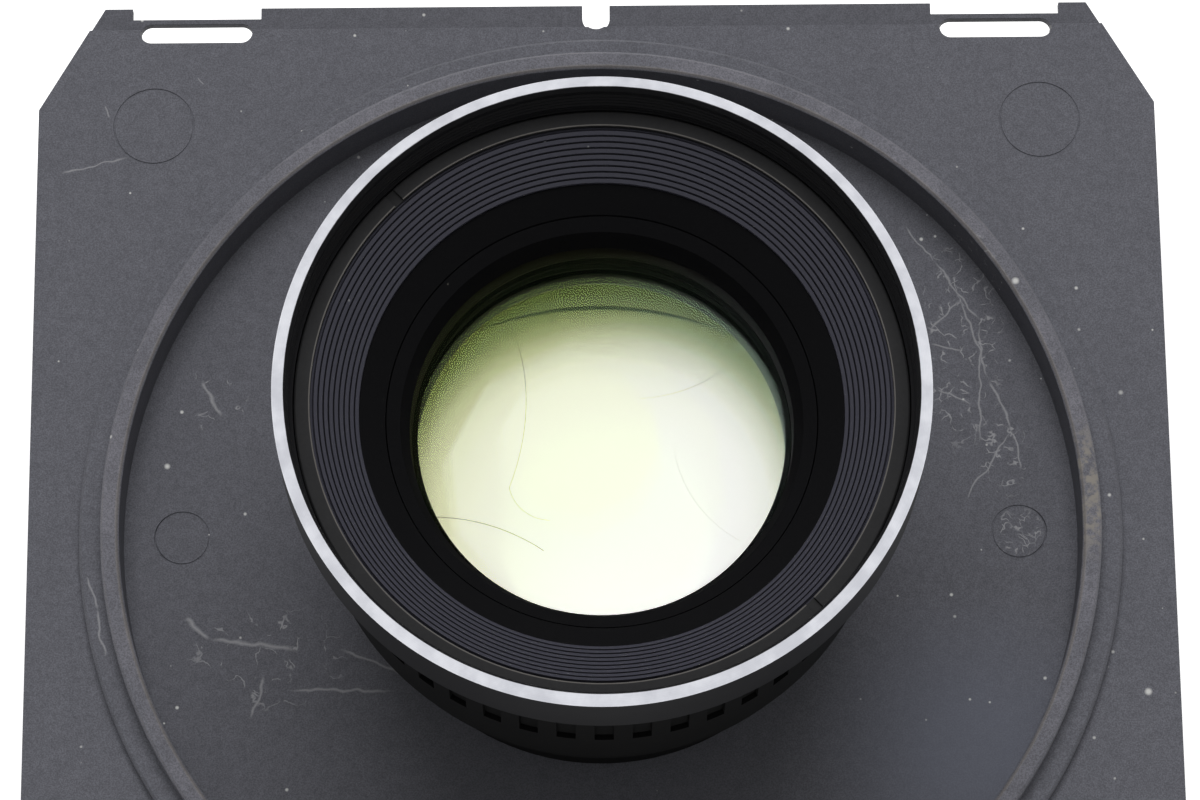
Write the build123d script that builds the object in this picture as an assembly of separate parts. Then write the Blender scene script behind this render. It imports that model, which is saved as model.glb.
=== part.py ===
"""Large-format enlarging lens on its lens board: every turned ring, glass element and iris blade
is its own solid.  Millimetres, +Z along the optical axis towards the front.  The origin is on the
axis, in the plane of the rear rim that the lens stands on."""

from build123d import *
import os
from math import asin, atan2, cos, degrees, hypot, radians, sin, sqrt

# ---------------------------------------------------------------- datum
face_z = 12.0                     # board front face above the rear rim

# ---------------------------------------------------------------- lens board (moulded plate)
board_width = 114.0
board_length = 112.6
board_thickness = 2.4
corner_cut_x = 6.5
corner_cut_y = 11.3
lip_width = 2.6                   # lower, thinner strip along the two short edges
lip_drop = 0.7
lip_thickness = 1.0
slot_length = 11.5
slot_width = 2.3
slot_offset_x = 41.05
slot_offset_edge = 2.9            # slot centre line in from the board's edge
relief_length = 13.2              # shallow edge cut outside each slot
relief_depth = 1.2
notch_width = 2.8
notch_depth = 2.85
band_radius = 51.8                # low raised band round the dish
band_height = 1.5
step_radius = 49.5                # taller ring standing on the band
step_height = 3.9
dish_radius = 47.6
dish_depth = 2.3
dish_floor = 2.4
dish_slope_width = 4.5            # gently rising edge of the dish floor
dish_slope_rise = 0.5
boss_radius = 50.6                # round boss behind the board, enters the enlarger's stage
pin_mark_radius = 4.15            # moulding pin circles, corners
pin_mark_x = 45.2
pin_mark_y = 43.1
dish_mark_radius = 2.8
dish_mark_x = 41.8
mark_line = 0.2
mark_deep = 0.12

# ---------------------------------------------------------------- fits
edge_break = 0.3                  # small chamfer on turned edges
running_gap = 0.05                # radial, between pieces that turn in each other
thread_gap = 0.05                 # radial, between two pieces screwed together
glass_gap = 0.05                  # radial, round each glass
seat_gap = 0.05                   # along the axis, between two seats that meet
past = 1.0                        # how far a cutting shape runs past what it cuts

# ---------------------------------------------------------------- rear half, heights from the board face
mount_radius = 19.5               # 39 mm mount thread, crest
mount_clearance = 0.2
mount_relief_low = 0.9            # thread run-out under the flange
mount_relief_high = 0.8
mount_relief_depth = 0.5
sleeve_wall = 1.95
sleeve_past_ring = 1.0
jam_thickness = 3.5
jam_width = 5.5
jam_notches = 4
jam_notch_width = 3.0
jam_notch_reach = 1.6
jam_notch_depth = 1.8
flange_width = 4.0
flange_thickness = 3.0
waist_step = 1.9
rear_cell_wall = 1.15
rear_lip_width = 0.5
rear_mouth_flare = 1.0
rear_mouth_rise = 0.9
rear_ring_depth = 2.4             # rear glass ring, below the glass edge
rear_ring_bevel = 0.3
rear_seat_play = 0.1

# ---------------------------------------------------------------- middle of the barrel
pivot_radius = 21.0               # circle of the blade pivots and, at rest, of the drive studs
pivot_to_bore = 2.1
barrel_wall = 1.6                 # iris bore to the seat of the aperture ring
index_proud = 1.9                 # index band over that seat
index_low = 12.5
index_high = 16.5
index_slope_foot = 1.2            # cone under the index band
index_slope_rise = 0.6
ring_wall = 2.6                   # outside of the aperture ring over its seat
ring_length = 14.0
ring_end_gap = 0.1
grip_ribs = 48
grip_depth = 0.5
grip_low = 6.6                    # grip band, from the ring's lower face
grip_high = 12.8
barrel_top = 36.0

# ---------------------------------------------------------------- front barrel and collar
neck_proud = 1.6                  # front barrel's neck over the ring seat
neck_wall = 2.0
front_flange_proud = 0.7
front_barrel_flange = 1.8
front_flange_slope = 0.5
collar_wall = 3.7                 # collar outside over the neck
collar_low = 39.2
collar_floor = 41.0
filter_thread_end = 42.4
filter_mouth = 46.3
rim_outer_height = 46.55
rim_height = 46.9
rim_width = 1.05
filter_wall = 1.4                 # leaves the 58 mm filter thread's minor radius
retainer_bore_wall = 1.7
retainer_width = 1.55
retainer_fit = 0.1
retainer_low = 41.75
retainer_thickness = 0.6
retainer_slot_width = 1.0
retainer_slot_depth = 0.35
retainer_slot_angle = 134.0

# ---------------------------------------------------------------- ribbed baffle ring
baffle_over_neck = 0.25
baffle_outer_height = 42.0
baffle_inner_height = 38.75
baffle_ribs = 9
baffle_groove = 0.2
baffle_wall = 0.9
baffle_flange_gap = 0.3
baffle_under_gap = 0.1
rib_land_end = 0.7                # shares of one rib's pitch, from its inner edge
groove_start = 0.74
groove_end = 0.95

# ---------------------------------------------------------------- front glass
front_glass_radius = 18.6
front_glass_cover = 0.7           # edge of the front glass under its ring
front_glass_rim_height = 33.0
cement_gap = 0.02                 # between two cemented surfaces
front_curve = 42.0
front_cement_curve = 120.0
front_cement_vertex = 30.6
front_back_curve = 300.0
front_back_vertex = 29.2
inner_glass_step = 1.7            # inner glass under the front glass's radius
inner_front_curve = 90.0
inner_front_vertex = 27.2
inner_back_curve = 120.0
inner_back_vertex = 25.4
front_ring_height = 35.4
front_ring_slope = 0.9
front_ring_flare = 0.1
front_ring_wall = 1.35
front_ring_pocket = 1.45
cell_top = 38.35
cell_wall = 1.55
cell_cone_rim = 0.7               # thread radius over the mouth of the cone
cell_cone_step = 1.0
cell_bore_fit = 0.1
nose_wall = 1.3
nose_low = 23.7
nose_lip_width = 0.9
glass_seat_play = 0.15
nose_neck = 1.0                   # heights over the glass seat
body_foot = 0.4
body_shoulder = 2.4
thread_foot = 3.0
spacer_width = 0.5
spacer_play = 0.1

# ---------------------------------------------------------------- rear glass
rear_inner_front_curve = 70.0
rear_inner_front_vertex = 14.5
rear_inner_back_curve = 62.0
rear_inner_back_vertex = 12.2
rear_front_curve = 200.0
rear_front_vertex = -1.5
rear_cement_curve = 90.0
rear_cement_vertex = -4.5
rear_back_curve = 140.0
rear_back_vertex = -7.0
rear_cell_top = 18.8
rear_flange_step = 0.3
inner_ring_low_gap = 0.05
inner_ring_top_gap = 0.2
inner_ring_bevel = 0.2

# ---------------------------------------------------------------- iris
blade_count = 10
iris_open_radius = 14.9
iris_shut_radius = 2.1
stud_radius = 0.4
drive_stud_angle = 20.0           # ahead of the pivot, seen from the axis
blade_to_pivot = 0.7
blade_start = 6.0
blade_sweep = 117.0
blade_neck = 1.1
blade_thickness = 0.14
blade_pitch = 0.20                # one layer to the next
blade_play = 0.1                  # over the last blade and at the stud ends
shelf_height = 19.1
housing_wall = 0.7
housing_floor = 1.0
housing_lip = 0.2                 # housing and drive ring bores over the open iris
drive_ring_lip = 0.7
drive_ring_thickness = 0.9
cam_steps = 12
aperture_turn = 60.0              # degrees from wide open to smallest stop
snap_ring_thickness = 0.6
snap_ring_width = 1.6
snap_ring_gap_angle = 88.0
snap_ring_play = 0.15
tab_offset = 9.5                  # drive tab, past a stud angle so that it stands between two slots
tab_width = 8.0                   # degrees
tab_past_blade = 0.1
tab_foot = 0.4
tab_over_screw = 0.35
tab_slot_gap = 0.03
screw_radius = 0.75
screw_height = 25.2
screw_slot_margin = 0.15
screw_tip = 0.3
screw_head_radius = 1.1
screw_head_seat = 1.15            # depths under the outside of the ring
screw_head_top = 0.35
screw_head_pocket = 1.2
screw_slot_depth = 0.4
screw_slot_width = 0.35
slot_half_height = 2.0            # of the cutter for a screwdriver slot

# ---------------------------------------------------------------- click stop and small parts
full_stops = (4.5, 5.6, 8, 11, 16, 22, 32)
ball_radius = 0.6
ball_from_seat = 0.95
ball_angle = 90.0                 # index side of the barrel
ball_lift = 0.25
ball_hole_gap = 0.04
dimple_gap = 0.05
ball_hole_depth = 3.4
spring_wire = 0.1
spring_turns = 4
spring_inset = 0.15
set_screw_radius = 0.8
set_screw_height = 35.0
set_screw_count = 3
set_screw_first = 30.0
set_screw_inset = 0.1
set_screw_slot = 0.3
set_screw_slot_depth = 0.6
index_dot_radius = 0.7
index_dot_depth = 0.5
index_dot_gap = 0.03
index_dot_seat = 0.02

# ---------------------------------------------------------------- worked out from the sizes above
seat_height = -dish_depth
board_back = seat_height - dish_floor
sleeve_end = board_back - jam_thickness - sleeve_past_ring
sleeve_bore = mount_radius - sleeve_wall
jam_radius = mount_radius + jam_width
flange_radius = mount_radius + flange_width
waist_radius = flange_radius - waist_step
rear_glass_radius = sleeve_bore - thread_gap - rear_cell_wall - glass_gap
rear_lip = rear_glass_radius - rear_lip_width
rear_mouth_radius = rear_glass_radius + rear_mouth_flare
rear_flange_radius = mount_radius - rear_flange_step
iris_bore = pivot_radius + pivot_to_bore
ring_seat_radius = iris_bore + barrel_wall
index_radius = ring_seat_radius + index_proud
ring_outer_radius = ring_seat_radius + ring_wall
ball_circle = ring_seat_radius + ball_from_seat
neck_radius = ring_seat_radius + neck_proud
neck_bore = neck_radius - neck_wall
front_barrel_radius = neck_radius + front_flange_proud
collar_radius = neck_radius + collar_wall
rim_inner_radius = collar_radius - rim_width
filter_bore = collar_radius - filter_wall
retainer_bore = collar_radius - retainer_bore_wall
retainer_inner = retainer_bore - retainer_width
cell_thread_radius = iris_bore - cell_bore_fit
cell_flange_radius = neck_bore - cell_bore_fit
cell_cone_radius = cell_thread_radius - cell_cone_rim
baffle_inner_radius = cell_cone_radius + baffle_under_gap
baffle_outer_radius = neck_radius + baffle_over_neck
front_glass_rim = front_glass_radius - front_glass_cover
front_ring_mouth = front_glass_radius + front_ring_flare
inner_glass_radius = front_glass_radius - inner_glass_step
nose_radius = inner_glass_radius + nose_wall
nose_lip = inner_glass_radius - nose_lip_width
blade_outer_radius = pivot_radius - blade_to_pivot
housing_inner = iris_open_radius + housing_lip
drive_ring_inner = iris_open_radius + drive_ring_lip
tab_inner = blade_outer_radius + tab_past_blade
ring_low = index_high + ring_end_gap
ring_high = ring_low + ring_length
front_barrel_low = ring_high + ring_end_gap
housing_top_of_floor = shelf_height + housing_floor
first_blade = housing_top_of_floor + (blade_pitch - blade_thickness)
drive_ring_low = first_blade + blade_count * blade_pitch + blade_play
drive_ring_high = drive_ring_low + drive_ring_thickness
drive_ring_outer = iris_bore - thread_gap - housing_wall - 2 * running_gap
snap_ring_low = drive_ring_high + snap_ring_play
stud_lever = 2 * pivot_radius * sin(radians(drive_stud_angle / 2))
blade_turn = 2 * degrees(asin((iris_open_radius - iris_shut_radius) / (2 * pivot_radius)))
blade_ratio = blade_turn / aperture_turn
tab_angle = drive_stud_angle + tab_offset + 2 * 360 / blade_count   # drive screw at rest
baffle_seat = collar_floor + seat_gap
baffle_slope = (baffle_outer_height - baffle_inner_height) / (baffle_outer_radius - baffle_inner_radius)


def turned(*outline):
    """Solid of revolution about the optical axis; outline points are (radius, height over the face)."""
    points = [(radius, 0, face_z + height) for radius, height in outline]
    return revolve(make_face(Polyline(*points, close=True)), Axis.Z)


def tube(inner, outer, low, high):
    """Plain turned ring with small chamfers on its outer edges."""
    edge = min(edge_break, (high - low) / 4)
    return turned((inner, low), (outer - edge, low), (outer, low + edge),
                  (outer, high - edge), (outer - edge, high), (inner, high))


def upright(radius, low, high, x=0.0, y=0.0):
    """Cylinder parallel to the axis between two heights over the face."""
    middle = face_z + (low + high) / 2
    return Pos(x, y, middle) * Cylinder(radius, high - low)


def radial_pin(radius, inner, outer, angle, height):
    """Cylinder lying along a radius."""
    along = Pos((inner + outer) / 2, 0, face_z + height) * Rot(0, 90, 0)
    return Rot(0, 0, angle) * along * Cylinder(radius, outer - inner)


def radial_bar(width, inner, outer, low, high, angle):
    """Rectangular bar lying along a radius."""
    place = Pos((inner + outer) / 2, 0, face_z + (low + high) / 2)
    return Rot(0, 0, angle) * place * Box(outer - inner, width, high - low)


def wedge(radius, low, high, start, end):
    """Pie slice used to cut ring sectors; at most 180 degrees."""
    arc_points = [(radius * cos(radians(a)), radius * sin(radians(a)))
                  for a in (start, (start + end) / 2, end)]
    outline = (Line((0, 0), arc_points[0]) + ThreePointArc(*arc_points) + Line(arc_points[2], (0, 0)))
    return Pos(0, 0, face_z + low) * extrude(make_face(outline), high - low)


def sag(curve, radius):
    """Depth of a spherical surface at a distance from the axis."""
    return curve - sqrt(curve * curve - radius * radius)


def glass(radius, front_at, front_radius, back_at, back_radius):
    """Lens element; a positive curve is centred behind its vertex, a negative one ahead of it."""
    def surface(vertex, curve, at):
        return vertex - (sag(curve, at) if curve > 0 else -sag(-curve, at))

    def arc(vertex, curve):
        ends = [(at, 0, face_z + surface(vertex, curve, at)) for at in (0, radius / 2, radius)]
        return ThreePointArc(*ends)

    front = arc(front_at, front_radius)
    back = arc(back_at, back_radius)
    outline = front + back + Line(front @ 1, back @ 1) + Line(front @ 0, back @ 0)
    return revolve(make_face(outline), Axis.Z)


def save(shape, name):
    export_step(shape, f"parts/{name}.step")


# ---------------------------------------------------------------- board
def make_board():
    half_x = board_width / 2
    half_y = board_length / 2
    through = board_thickness * 4
    outline = [(half_x - corner_cut_x, half_y), (half_x, half_y - corner_cut_y),
               (half_x, -half_y + corner_cut_y), (half_x - corner_cut_x, -half_y),
               (-half_x + corner_cut_x, -half_y), (-half_x, -half_y + corner_cut_y),
               (-half_x, half_y - corner_cut_y), (-half_x + corner_cut_x, half_y)]
    plate = extrude(make_face(Polyline(*outline, close=True)), board_thickness)
    board = Pos(0, 0, face_z - board_thickness) * plate
    rise = edge_break
    board = board + turned((0, board_back), (boss_radius - rise, board_back),
                           (boss_radius, board_back + rise), (boss_radius, -board_thickness / 2),
                           (band_radius, -board_thickness / 2), (band_radius, band_height - rise),
                           (band_radius - rise, band_height), (step_radius, band_height),
                           (step_radius, step_height - rise), (step_radius - rise, step_height),
                           (0, step_height))
    floor_edge = dish_radius - dish_slope_width
    board = board - turned((0, seat_height), (floor_edge, seat_height),
                           (dish_radius, seat_height + dish_slope_rise),
                           (dish_radius, step_height - rise), (dish_radius + rise, step_height),
                           (dish_radius + rise, step_height + past), (0, step_height + past))
    board = board - upright(mount_radius + mount_clearance, board_back - past, past)
    for side in (1, -1):
        lip = Pos(0, side * (half_y - lip_width / 2), face_z)
        board = board - lip * Box(board_width, lip_width, lip_drop * 2)
        back_drop = board_thickness - lip_drop - lip_thickness
        board = board - lip * Pos(0, 0, -board_thickness) * Box(board_width, lip_width, back_drop * 2)
        notch = Pos(0, side * (half_y - notch_depth + notch_width / 2), face_z)
        board = board - notch * Cylinder(notch_width / 2, through)
        board = board - notch * Pos(0, side * notch_depth / 2, 0) * Box(notch_width, notch_depth, through)
        for hand in (1, -1):
            slot = extrude(SlotOverall(slot_length, slot_width), through)
            slot_y = side * (half_y - slot_offset_edge)
            board = board - Pos(hand * slot_offset_x, slot_y, face_z - through / 2) * slot
            relief = Box(relief_length, relief_depth * 2, through)
            board = board - Pos(hand * slot_offset_x, side * half_y, face_z) * relief
            mark = pin_mark(pin_mark_radius, 0)
            board = board - Pos(hand * pin_mark_x, side * pin_mark_y, 0) * mark
    for hand in (1, -1):
        board = board - Pos(hand * dish_mark_x, 0, 0) * pin_mark(dish_mark_radius, seat_height)
    return board


def pin_mark(radius, height):
    """Fine circular line left by a moulding pin."""
    outer = upright(radius, height - mark_deep, height + past)
    return outer - upright(radius - mark_line, height - past, height + 2 * past)


def make_jam_ring():
    low = board_back - jam_thickness
    ring = tube(mount_radius + thread_gap, jam_radius, low, board_back)
    for n in range(jam_notches):
        ring = ring - radial_bar(jam_notch_width, jam_radius - jam_notch_reach, jam_radius + past,
                                 low - past, low + jam_notch_depth, n * 360 / jam_notches)
    return ring


# ---------------------------------------------------------------- barrel
def make_main_barrel():
    neck_thread = neck_bore - thread_gap
    relief = mount_radius - mount_relief_depth
    barrel = turned((sleeve_bore, sleeve_end), (mount_radius - edge_break, sleeve_end),
                    (mount_radius, sleeve_end + edge_break), (mount_radius, seat_height - mount_relief_low),
                    (relief, seat_height - mount_relief_high), (relief, seat_height),
                    (flange_radius - edge_break, seat_height), (flange_radius, seat_height + edge_break),
                    (flange_radius, seat_height + flange_thickness - edge_break),
                    (flange_radius - edge_break, seat_height + flange_thickness),
                    (waist_radius, seat_height + flange_thickness),
                    (index_radius - index_slope_foot, index_low),
                    (index_radius, index_low + index_slope_rise),
                    (index_radius, index_high - edge_break), (index_radius - edge_break, index_high),
                    (ring_seat_radius, index_high), (ring_seat_radius, front_barrel_low - edge_break),
                    (neck_thread, front_barrel_low), (neck_thread, barrel_top),
                    (iris_bore, barrel_top), (iris_bore, shelf_height), (sleeve_bore, shelf_height))
    barrel = barrel - drive_slot()
    ball_x = ball_circle * cos(radians(ball_angle))
    ball_y = ball_circle * sin(radians(ball_angle))
    hole_low = index_high - ball_hole_depth
    barrel = barrel - upright(ball_radius + ball_hole_gap, hole_low, index_high + past, ball_x, ball_y)
    dot_floor = index_radius - index_dot_depth
    return barrel - radial_pin(index_dot_radius, dot_floor, index_radius + past, ball_angle,
                               index_dot_height())


def index_dot_height():
    return (index_low + index_high) / 2


def drive_slot():
    """Slot in the barrel wall that the drive screw sweeps; its ends are the stops of the ring."""
    reach = degrees(asin((screw_radius + screw_slot_margin) / iris_bore))
    half = screw_radius + screw_slot_margin
    low = screw_height - half
    high = screw_height + half
    sector = wedge(ring_seat_radius + past, low, high, tab_angle - reach, tab_angle + aperture_turn + reach)
    return sector - upright(iris_bore - past, low - past, high + past)


def stop_angle(f_number):
    """Turn of the aperture ring, in degrees, that closes the iris to an f-number."""
    opening = iris_open_radius * full_stops[0] / f_number
    return 2 * degrees(asin((iris_open_radius - opening) / (2 * pivot_radius))) / blade_ratio


def make_aperture_ring():
    ring = tube(ring_seat_radius + running_gap, ring_outer_radius, ring_low, ring_high)
    groove_low = ring_low + grip_low
    groove_high = ring_low + grip_high
    flute = ring_outer_radius * radians(360 / grip_ribs) / 2
    for n in range(grip_ribs):
        ring = ring - radial_bar(flute, ring_outer_radius - grip_depth, ring_outer_radius + past,
                                 groove_low, groove_high, n * 360 / grip_ribs)
    dimple_z = face_z + ring_low + ball_lift - ball_radius
    for f_number in full_stops:
        angle = ball_angle - stop_angle(f_number)
        ring = ring - Rot(0, 0, angle) * Pos(ball_circle, 0, dimple_z) * Sphere(ball_radius + dimple_gap)
    shank = radial_pin(screw_radius + thread_gap, ring_seat_radius - past, ring_outer_radius + past,
                       tab_angle, screw_height)
    head = radial_pin(screw_head_radius + thread_gap, ring_outer_radius - screw_head_pocket,
                      ring_outer_radius + past, tab_angle, screw_height)
    return ring - shank - head


def make_drive_screw():
    head_top = ring_outer_radius - screw_head_top
    head_seat = ring_outer_radius - screw_head_seat
    shank = radial_pin(screw_radius, tab_inner + screw_tip, (head_seat + head_top) / 2, tab_angle,
                       screw_height)
    head = radial_pin(screw_head_radius, head_seat, head_top, tab_angle, screw_height)
    slot = radial_bar(screw_slot_width, head_top - screw_slot_depth, head_top + past,
                      screw_height - slot_half_height, screw_height + slot_half_height, tab_angle)
    return shank + head - slot


def make_front_barrel():
    low = front_barrel_low
    flange_high = low + front_barrel_flange
    body = turned((neck_bore, low), (front_barrel_radius - edge_break, low),
                  (front_barrel_radius, low + edge_break), (front_barrel_radius, flange_high),
                  (neck_radius, flange_high + front_flange_slope), (neck_radius, baffle_under(neck_radius)),
                  (neck_bore, baffle_under(neck_bore)))
    for n in range(set_screw_count):
        body = body - radial_pin(set_screw_radius + thread_gap, neck_bore - past, neck_radius + past,
                                 set_screw_angle(n), set_screw_height)
    return body


def set_screw_angle(n):
    return set_screw_first + n * 360 / set_screw_count


def make_set_screws():
    screws = []
    for n in range(set_screw_count):
        angle = set_screw_angle(n)
        body = radial_pin(set_screw_radius, neck_bore + seat_gap, neck_radius - set_screw_inset, angle,
                          set_screw_height)
        slot = radial_bar(set_screw_slot, neck_radius - set_screw_slot_depth, neck_radius,
                          set_screw_height - slot_half_height, set_screw_height + slot_half_height, angle)
        screws.append(body - slot)
    return Compound(children=screws)


def make_collar():
    lip = edge_break
    low = collar_low
    return turned((neck_radius + thread_gap, low), (collar_radius - 2 * lip, low), (collar_radius, low + lip),
                  (collar_radius, rim_outer_height), (rim_inner_radius, rim_height),
                  (filter_bore, filter_mouth), (filter_bore, filter_thread_end),
                  (retainer_bore, filter_thread_end), (retainer_bore, collar_floor),
                  (neck_radius + thread_gap, collar_floor))


# ---------------------------------------------------------------- front trim rings
def baffle_top(radius):
    """Height of the ribbed cone at a radius."""
    return baffle_inner_height + baffle_slope * (radius - baffle_inner_radius)


def baffle_under(radius):
    """Seat just under the ribbed cone."""
    return baffle_top(radius) - baffle_wall - baffle_under_gap


def make_baffle_ring():
    flange_top = retainer_low - seat_gap
    flange_outer = retainer_bore - baffle_flange_gap
    pitch = (baffle_outer_radius - baffle_inner_radius) / baffle_ribs
    cone = []
    for n in range(baffle_ribs):
        inner = baffle_inner_radius + n * pitch
        for share, depth in ((0, 0), (rib_land_end, 0), (groove_start, baffle_groove),
                             (groove_end, baffle_groove)):
            radius = inner + share * pitch
            cone.append((radius, baffle_top(radius) - depth))
    cone.append((baffle_outer_radius, baffle_outer_height))
    foot = cell_top + seat_gap
    foot_radius = baffle_inner_radius + (foot + baffle_wall - baffle_inner_height) / baffle_slope
    shoulder = neck_radius - seat_gap
    outline = cone + [(baffle_outer_radius, flange_top), (flange_outer, flange_top),
                      (flange_outer, baffle_seat), (shoulder, baffle_seat),
                      (shoulder, baffle_top(shoulder) - baffle_wall), (foot_radius, foot),
                      (baffle_inner_radius, foot)]
    return turned(*outline)


def make_front_retainer():
    top = retainer_low + retainer_thickness
    ring = tube(retainer_inner, retainer_bore - retainer_fit, retainer_low, top)
    for turn in (0, 180):
        ring = ring - radial_bar(retainer_slot_width, retainer_inner - past, retainer_bore + past,
                                 top - retainer_slot_depth, top + past, retainer_slot_angle + turn)
    return ring


# ---------------------------------------------------------------- front cell
def front_edge(radius):
    """Height of the front glass surface at a radius."""
    vertex = front_glass_rim_height + sag(front_curve, front_glass_rim)
    return vertex - sag(front_curve, radius)


def make_front_cell():
    glass_seat = front_back_vertex - sag(front_back_curve, inner_glass_radius) - glass_seat_play
    inner_seat = inner_back_vertex - sag(inner_back_curve, nose_lip) - glass_seat_play
    glass_bore = front_glass_radius + glass_gap
    ring_bore = front_glass_radius + front_ring_pocket
    cone_low = front_ring_height + cell_cone_step
    wide = glass_bore + cell_wall
    flange_low = barrel_top + seat_gap
    return turned((nose_lip, nose_low), (nose_radius, nose_low), (nose_radius, glass_seat - nose_neck),
                  (wide, glass_seat - body_foot), (wide, glass_seat + body_shoulder),
                  (cell_thread_radius, glass_seat + thread_foot),
                  (cell_thread_radius, flange_low), (cell_flange_radius, flange_low),
                  (cell_flange_radius, cell_top), (cell_cone_radius, cell_top), (ring_bore, cone_low),
                  (ring_bore, front_glass_rim_height), (glass_bore, front_glass_rim_height),
                  (glass_bore, glass_seat), (inner_glass_radius + glass_gap, glass_seat),
                  (inner_glass_radius + glass_gap, inner_seat), (nose_lip, inner_seat))


def make_front_glass_ring():
    low = front_glass_rim_height + seat_gap
    outer = front_glass_radius + front_ring_wall
    return turned((front_glass_rim, low), (outer, low), (outer, front_ring_height + front_ring_slope),
                  (front_ring_mouth, front_ring_height))


def make_front_spacer():
    inside = inner_glass_radius - spacer_width
    low = inner_front_vertex - sag(inner_front_curve, inside) + spacer_play
    high = front_back_vertex - sag(front_back_curve, inner_glass_radius) - spacer_play
    return turned((inside, low), (inner_glass_radius, low), (inner_glass_radius, high), (inside, high))


def make_front_glasses():
    vertex = front_edge(0)
    half = cement_gap / 2
    outer = glass(front_glass_radius, vertex, front_curve, front_cement_vertex + half, -front_cement_curve)
    middle = glass(front_glass_radius, front_cement_vertex - half, -front_cement_curve,
                   front_back_vertex, front_back_curve)
    inner = glass(inner_glass_radius, inner_front_vertex, inner_front_curve,
                  inner_back_vertex, inner_back_curve)
    return outer, middle, inner


# ---------------------------------------------------------------- rear cell
def make_rear_cell():
    bore = rear_glass_radius + glass_gap
    outer = sleeve_bore - thread_gap
    flange_high = sleeve_end - seat_gap
    inner_seat = rear_inner_back_vertex + sag(rear_inner_back_curve, rear_lip) - rear_seat_play
    back_seat = rear_front_vertex - sag(rear_front_curve, rear_glass_radius) + rear_seat_play
    bottom = -face_z
    return turned((rear_mouth_radius, bottom), (rear_flange_radius - edge_break, bottom),
                  (rear_flange_radius, bottom + edge_break), (rear_flange_radius, flange_high),
                  (outer, flange_high), (outer, rear_cell_top), (bore, rear_cell_top), (bore, inner_seat),
                  (rear_lip, inner_seat), (rear_lip, back_seat), (bore, back_seat),
                  (bore, rear_ring_low()), (rear_mouth_radius, rear_ring_low() - rear_mouth_rise))


def rear_ring_low():
    """Lower face of the ring that holds the rear glass."""
    return rear_back_vertex + sag(rear_back_curve, rear_glass_radius) - rear_ring_depth


def make_rear_glass_ring():
    high = rear_back_vertex + sag(rear_back_curve, rear_lip) - seat_gap
    return turned((rear_lip, high), (rear_lip + rear_ring_bevel, rear_ring_low()),
                  (rear_glass_radius, rear_ring_low()), (rear_glass_radius, high))


def make_rear_inner_ring():
    low = rear_inner_front_vertex + sag(rear_inner_front_curve, rear_glass_radius) + inner_ring_low_gap
    top = rear_cell_top - inner_ring_top_gap
    return turned((rear_lip, low), (rear_glass_radius, low), (rear_glass_radius, top),
                  (rear_lip + inner_ring_bevel, top))


def make_rear_glasses():
    inner = glass(rear_glass_radius, rear_inner_front_vertex, -rear_inner_front_curve,
                  rear_inner_back_vertex, -rear_inner_back_curve)
    middle = glass(rear_glass_radius, rear_front_vertex, rear_front_curve,
                   rear_cement_vertex + cement_gap / 2, -rear_cement_curve)
    outer = glass(rear_glass_radius, rear_cement_vertex - cement_gap / 2, -rear_cement_curve,
                  rear_back_vertex, -rear_back_curve)
    return inner, middle, outer


# ---------------------------------------------------------------- iris
def make_iris_housing():
    outer = iris_bore - thread_gap
    top = drive_ring_high
    body = turned((housing_inner, shelf_height), (outer, shelf_height), (outer, top),
                  (outer - housing_wall, top), (outer - housing_wall, housing_top_of_floor),
                  (housing_inner, housing_top_of_floor))
    for n in range(blade_count):
        angle = radians(n * 360 / blade_count)
        body = body - upright(stud_radius + running_gap, shelf_height - past, housing_top_of_floor + past,
                              pivot_radius * cos(angle), pivot_radius * sin(angle))
    return body


def band(inner, outer, start, end, low, thickness):
    """Curved strip about the axis with round ends."""
    middle = (inner + outer) / 2
    ring = upright(outer, low, low + thickness) - upright(inner, low - past, low + thickness + past)
    strip = ring & wedge(2 * outer, low - past, low + thickness + past, start, end)
    for angle in (start, end):
        x = middle * cos(radians(angle))
        y = middle * sin(radians(angle))
        strip = strip + upright((outer - inner) / 2, low, low + thickness, x, y)
    return strip


def make_blade(n):
    """Crescent blade in its own layer, pivot stud behind it and drive stud ahead of it."""
    low = first_blade + n * blade_pitch
    high = low + blade_thickness
    blade = band(iris_open_radius, blade_outer_radius, blade_start, blade_sweep, low, blade_thickness)
    blade = blade + band(pivot_radius - blade_neck, pivot_radius + blade_neck, 0, drive_stud_angle,
                         low, blade_thickness)
    pivot = upright(stud_radius, shelf_height + blade_play, high, pivot_radius, 0)
    drive_x = pivot_radius * cos(radians(drive_stud_angle))
    drive_y = pivot_radius * sin(radians(drive_stud_angle))
    drive = upright(stud_radius, low, drive_ring_high - seat_gap, drive_x, drive_y)
    return Rot(0, 0, n * 360 / blade_count) * (blade + pivot + drive)


def drive_path(share):
    """Place of the drive stud, seen from the drive ring, at a share of the full turn."""
    heading = radians(90 + drive_stud_angle / 2 + share * blade_turn)
    x = pivot_radius + stud_lever * cos(heading)
    y = stud_lever * sin(heading)
    polar = degrees(atan2(y, x)) - share * aperture_turn
    return hypot(x, y), polar


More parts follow.
